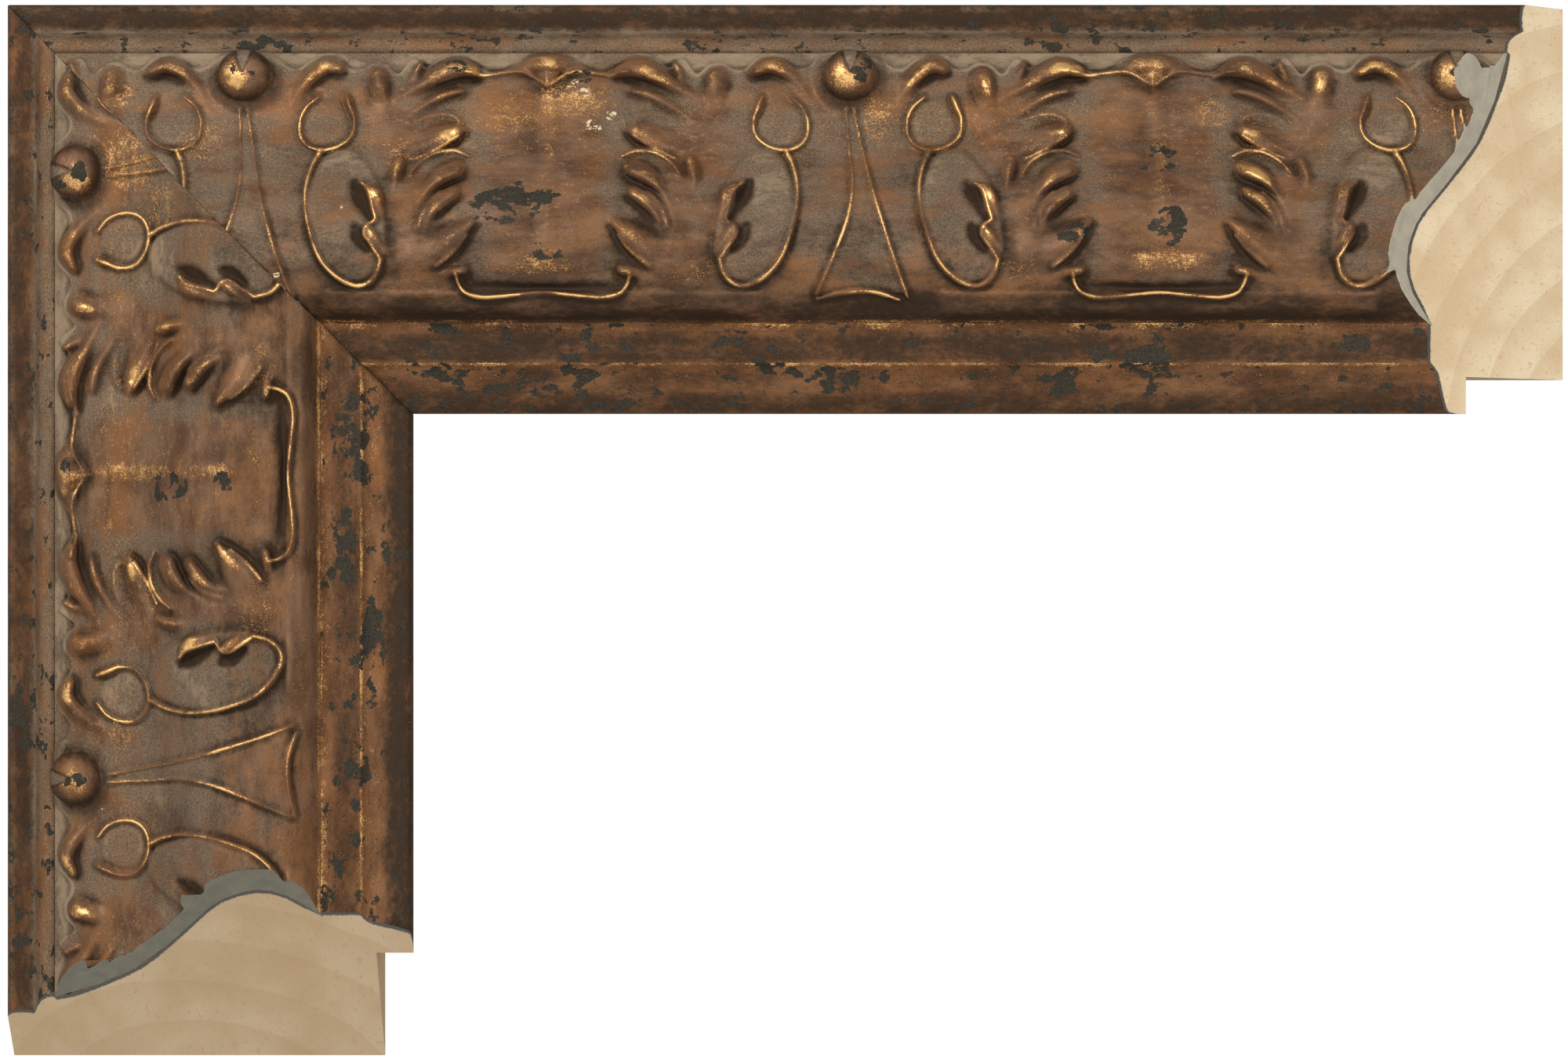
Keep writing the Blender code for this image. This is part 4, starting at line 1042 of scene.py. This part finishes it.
# Side rail ornament.
# The same strip on the side rail; its pattern meets the top rail's at the mitre as it falls.
SIDE_FIRST_BALL = 31.8
SIDE_PATCHES = [(-89.5, 32.0, 2.6, 3.6, 0.46), (-89.0, 43.5, 1.6, 2.6, 0.46), (-88.0, 12.5, 3.4, 1.4, 0.5),
                (-32.2, 15.3, 1.9, 1.5, 0.56), (-34.2, 11.8, 0.8, 1.4, 0.5), (-143.2, 14.9, 1.2, 1.9, 0.54)]
SIDE_FLECKS = [(-24.5, 17.6, 0.9), (-59.5, 40.3, 0.8), (-149.0, 19.0, 0.8), (-133.0, 21.5, 0.7),
               (-27.0, 22.5, 0.7)]
SIDE_GILDING = [(-30.0, 24.0, 6.0, 5.5, 0.36), (-38.0, 31.0, 5.0, 4.0, 0.28), (-87.0, 26.0, 1.5, 9.0, 0.38),
                (-87.0, 40.0, 1.3, 6.0, 0.38), (-68.0, 50.0, 5.0, 3.0, 0.32), (-112.0, 49.0, 6.0, 4.0, 0.30),
                (-135.0, 22.5, 3.0, 3.0, 0.28)]

side_strip = pressed_strip("side_rail_pressed_ornament", CUT_BEFORE_END - SIDE_LENGTH, SAW_WASTE,
                           -SIDE_FIRST_BALL, 71)
cut_to_length(side_strip, -1, SIDE_LENGTH)
# On the side rail the foot faces sideways and gets less painted shade
finish_strip(side_strip, -1, -SIDE_FIRST_BALL, 81, SIDE_RUN_OFFSET, 0.26, 0.85, SIDE_PATCHES, SIDE_FLECKS,
             SIDE_GILDING)
# The side strip's sawn end faces down too; its darker grey is painted shade
dress(side_strip, strip_finish, cut_composition("shaded grey composition", (0.185, 0.176, 0.130),
                                                (0.148, 0.141, 0.105), (0.12, 0.114, 0.092)))
put_in_place(side_strip, True)
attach(side_strip, "root")
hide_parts("side_rail_ornament")

# Studio.
# A pale floor well below the hanging corner, a large soft light from above and in front, a weaker
# one from the front for fill, and a pale surround.
FLOOR_DROP = 0.45
bpy.ops.object.select_all(action="DESELECT")
bpy.ops.mesh.primitive_plane_add(size=3.0, location=(corner.x, 0.0, corner.z - FLOOR_DROP))
floor = bpy.context.object
floor.name = "studio_floor"
floor_paint, _, floor_shader = new_material("pale floor")
floor_shader.inputs["Base Color"].default_value = (0.82, 0.81, 0.79, 1.0)
floor_shader.inputs["Roughness"].default_value = 0.9
dress(floor, floor_paint)

view_middle = corner + Vector((144.0, 0.0, -97.7)) * MM
CAMERA_DISTANCE = 0.9534
FIELD_WIDTH = 0.2934      # of the picture, at the plane of the back


def soft_light(name, offset, size, power):
    """A square light that faces the middle of the view."""
    bpy.ops.object.light_add(type="AREA", location=view_middle + Vector(offset))
    lamp = bpy.context.object
    lamp.name = name
    lamp.data.shape = "SQUARE"
    lamp.data.size = size
    lamp.data.energy = power
    lamp.rotation_euler = (-Vector(offset)).to_track_quat("-Z", "Y").to_euler()


soft_light("high_soft_light", (-0.62, -0.85, 0.72), 0.45, 13.5)
soft_light("front_fill", (0.75, -1.20, 0.12), 0.9, 10.0)

world = bpy.data.worlds.new("pale surround")
bpy.context.scene.world = world
world.use_nodes = True
surround = world.node_tree
background = surround.nodes["Background"]
background.inputs["Color"].default_value = (1.0, 0.99, 0.97, 1.0)
background.inputs["Strength"].default_value = 0.22
seen = node(surround, "ShaderNodeBackground", Color=(1.0, 1.0, 1.0, 1.0), Strength=1.0)
sight = node(surround, "ShaderNodeLightPath")
choice = node(surround, "ShaderNodeMixShader")
surround.links.new(sight.outputs["Is Camera Ray"], choice.inputs["Fac"])
link(surround, background, choice, 0, 1)
link(surround, seen, choice, 0, 2)
link(surround, choice, surround.nodes["World Output"], 0, "Surface")

bpy.context.scene.view_settings.view_transform = "Standard"
bpy.ops.object.camera_add(location=view_middle + Vector((0.0, -CAMERA_DISTANCE, 0.0)),
                          rotation=(math.radians(90), 0.0, 0.0))
camera = bpy.context.object
camera.name = "front_camera"
camera.data.sensor_width = 36.0
camera.data.lens = camera.data.sensor_width * CAMERA_DISTANCE / FIELD_WIDTH
bpy.context.scene.camera = camera
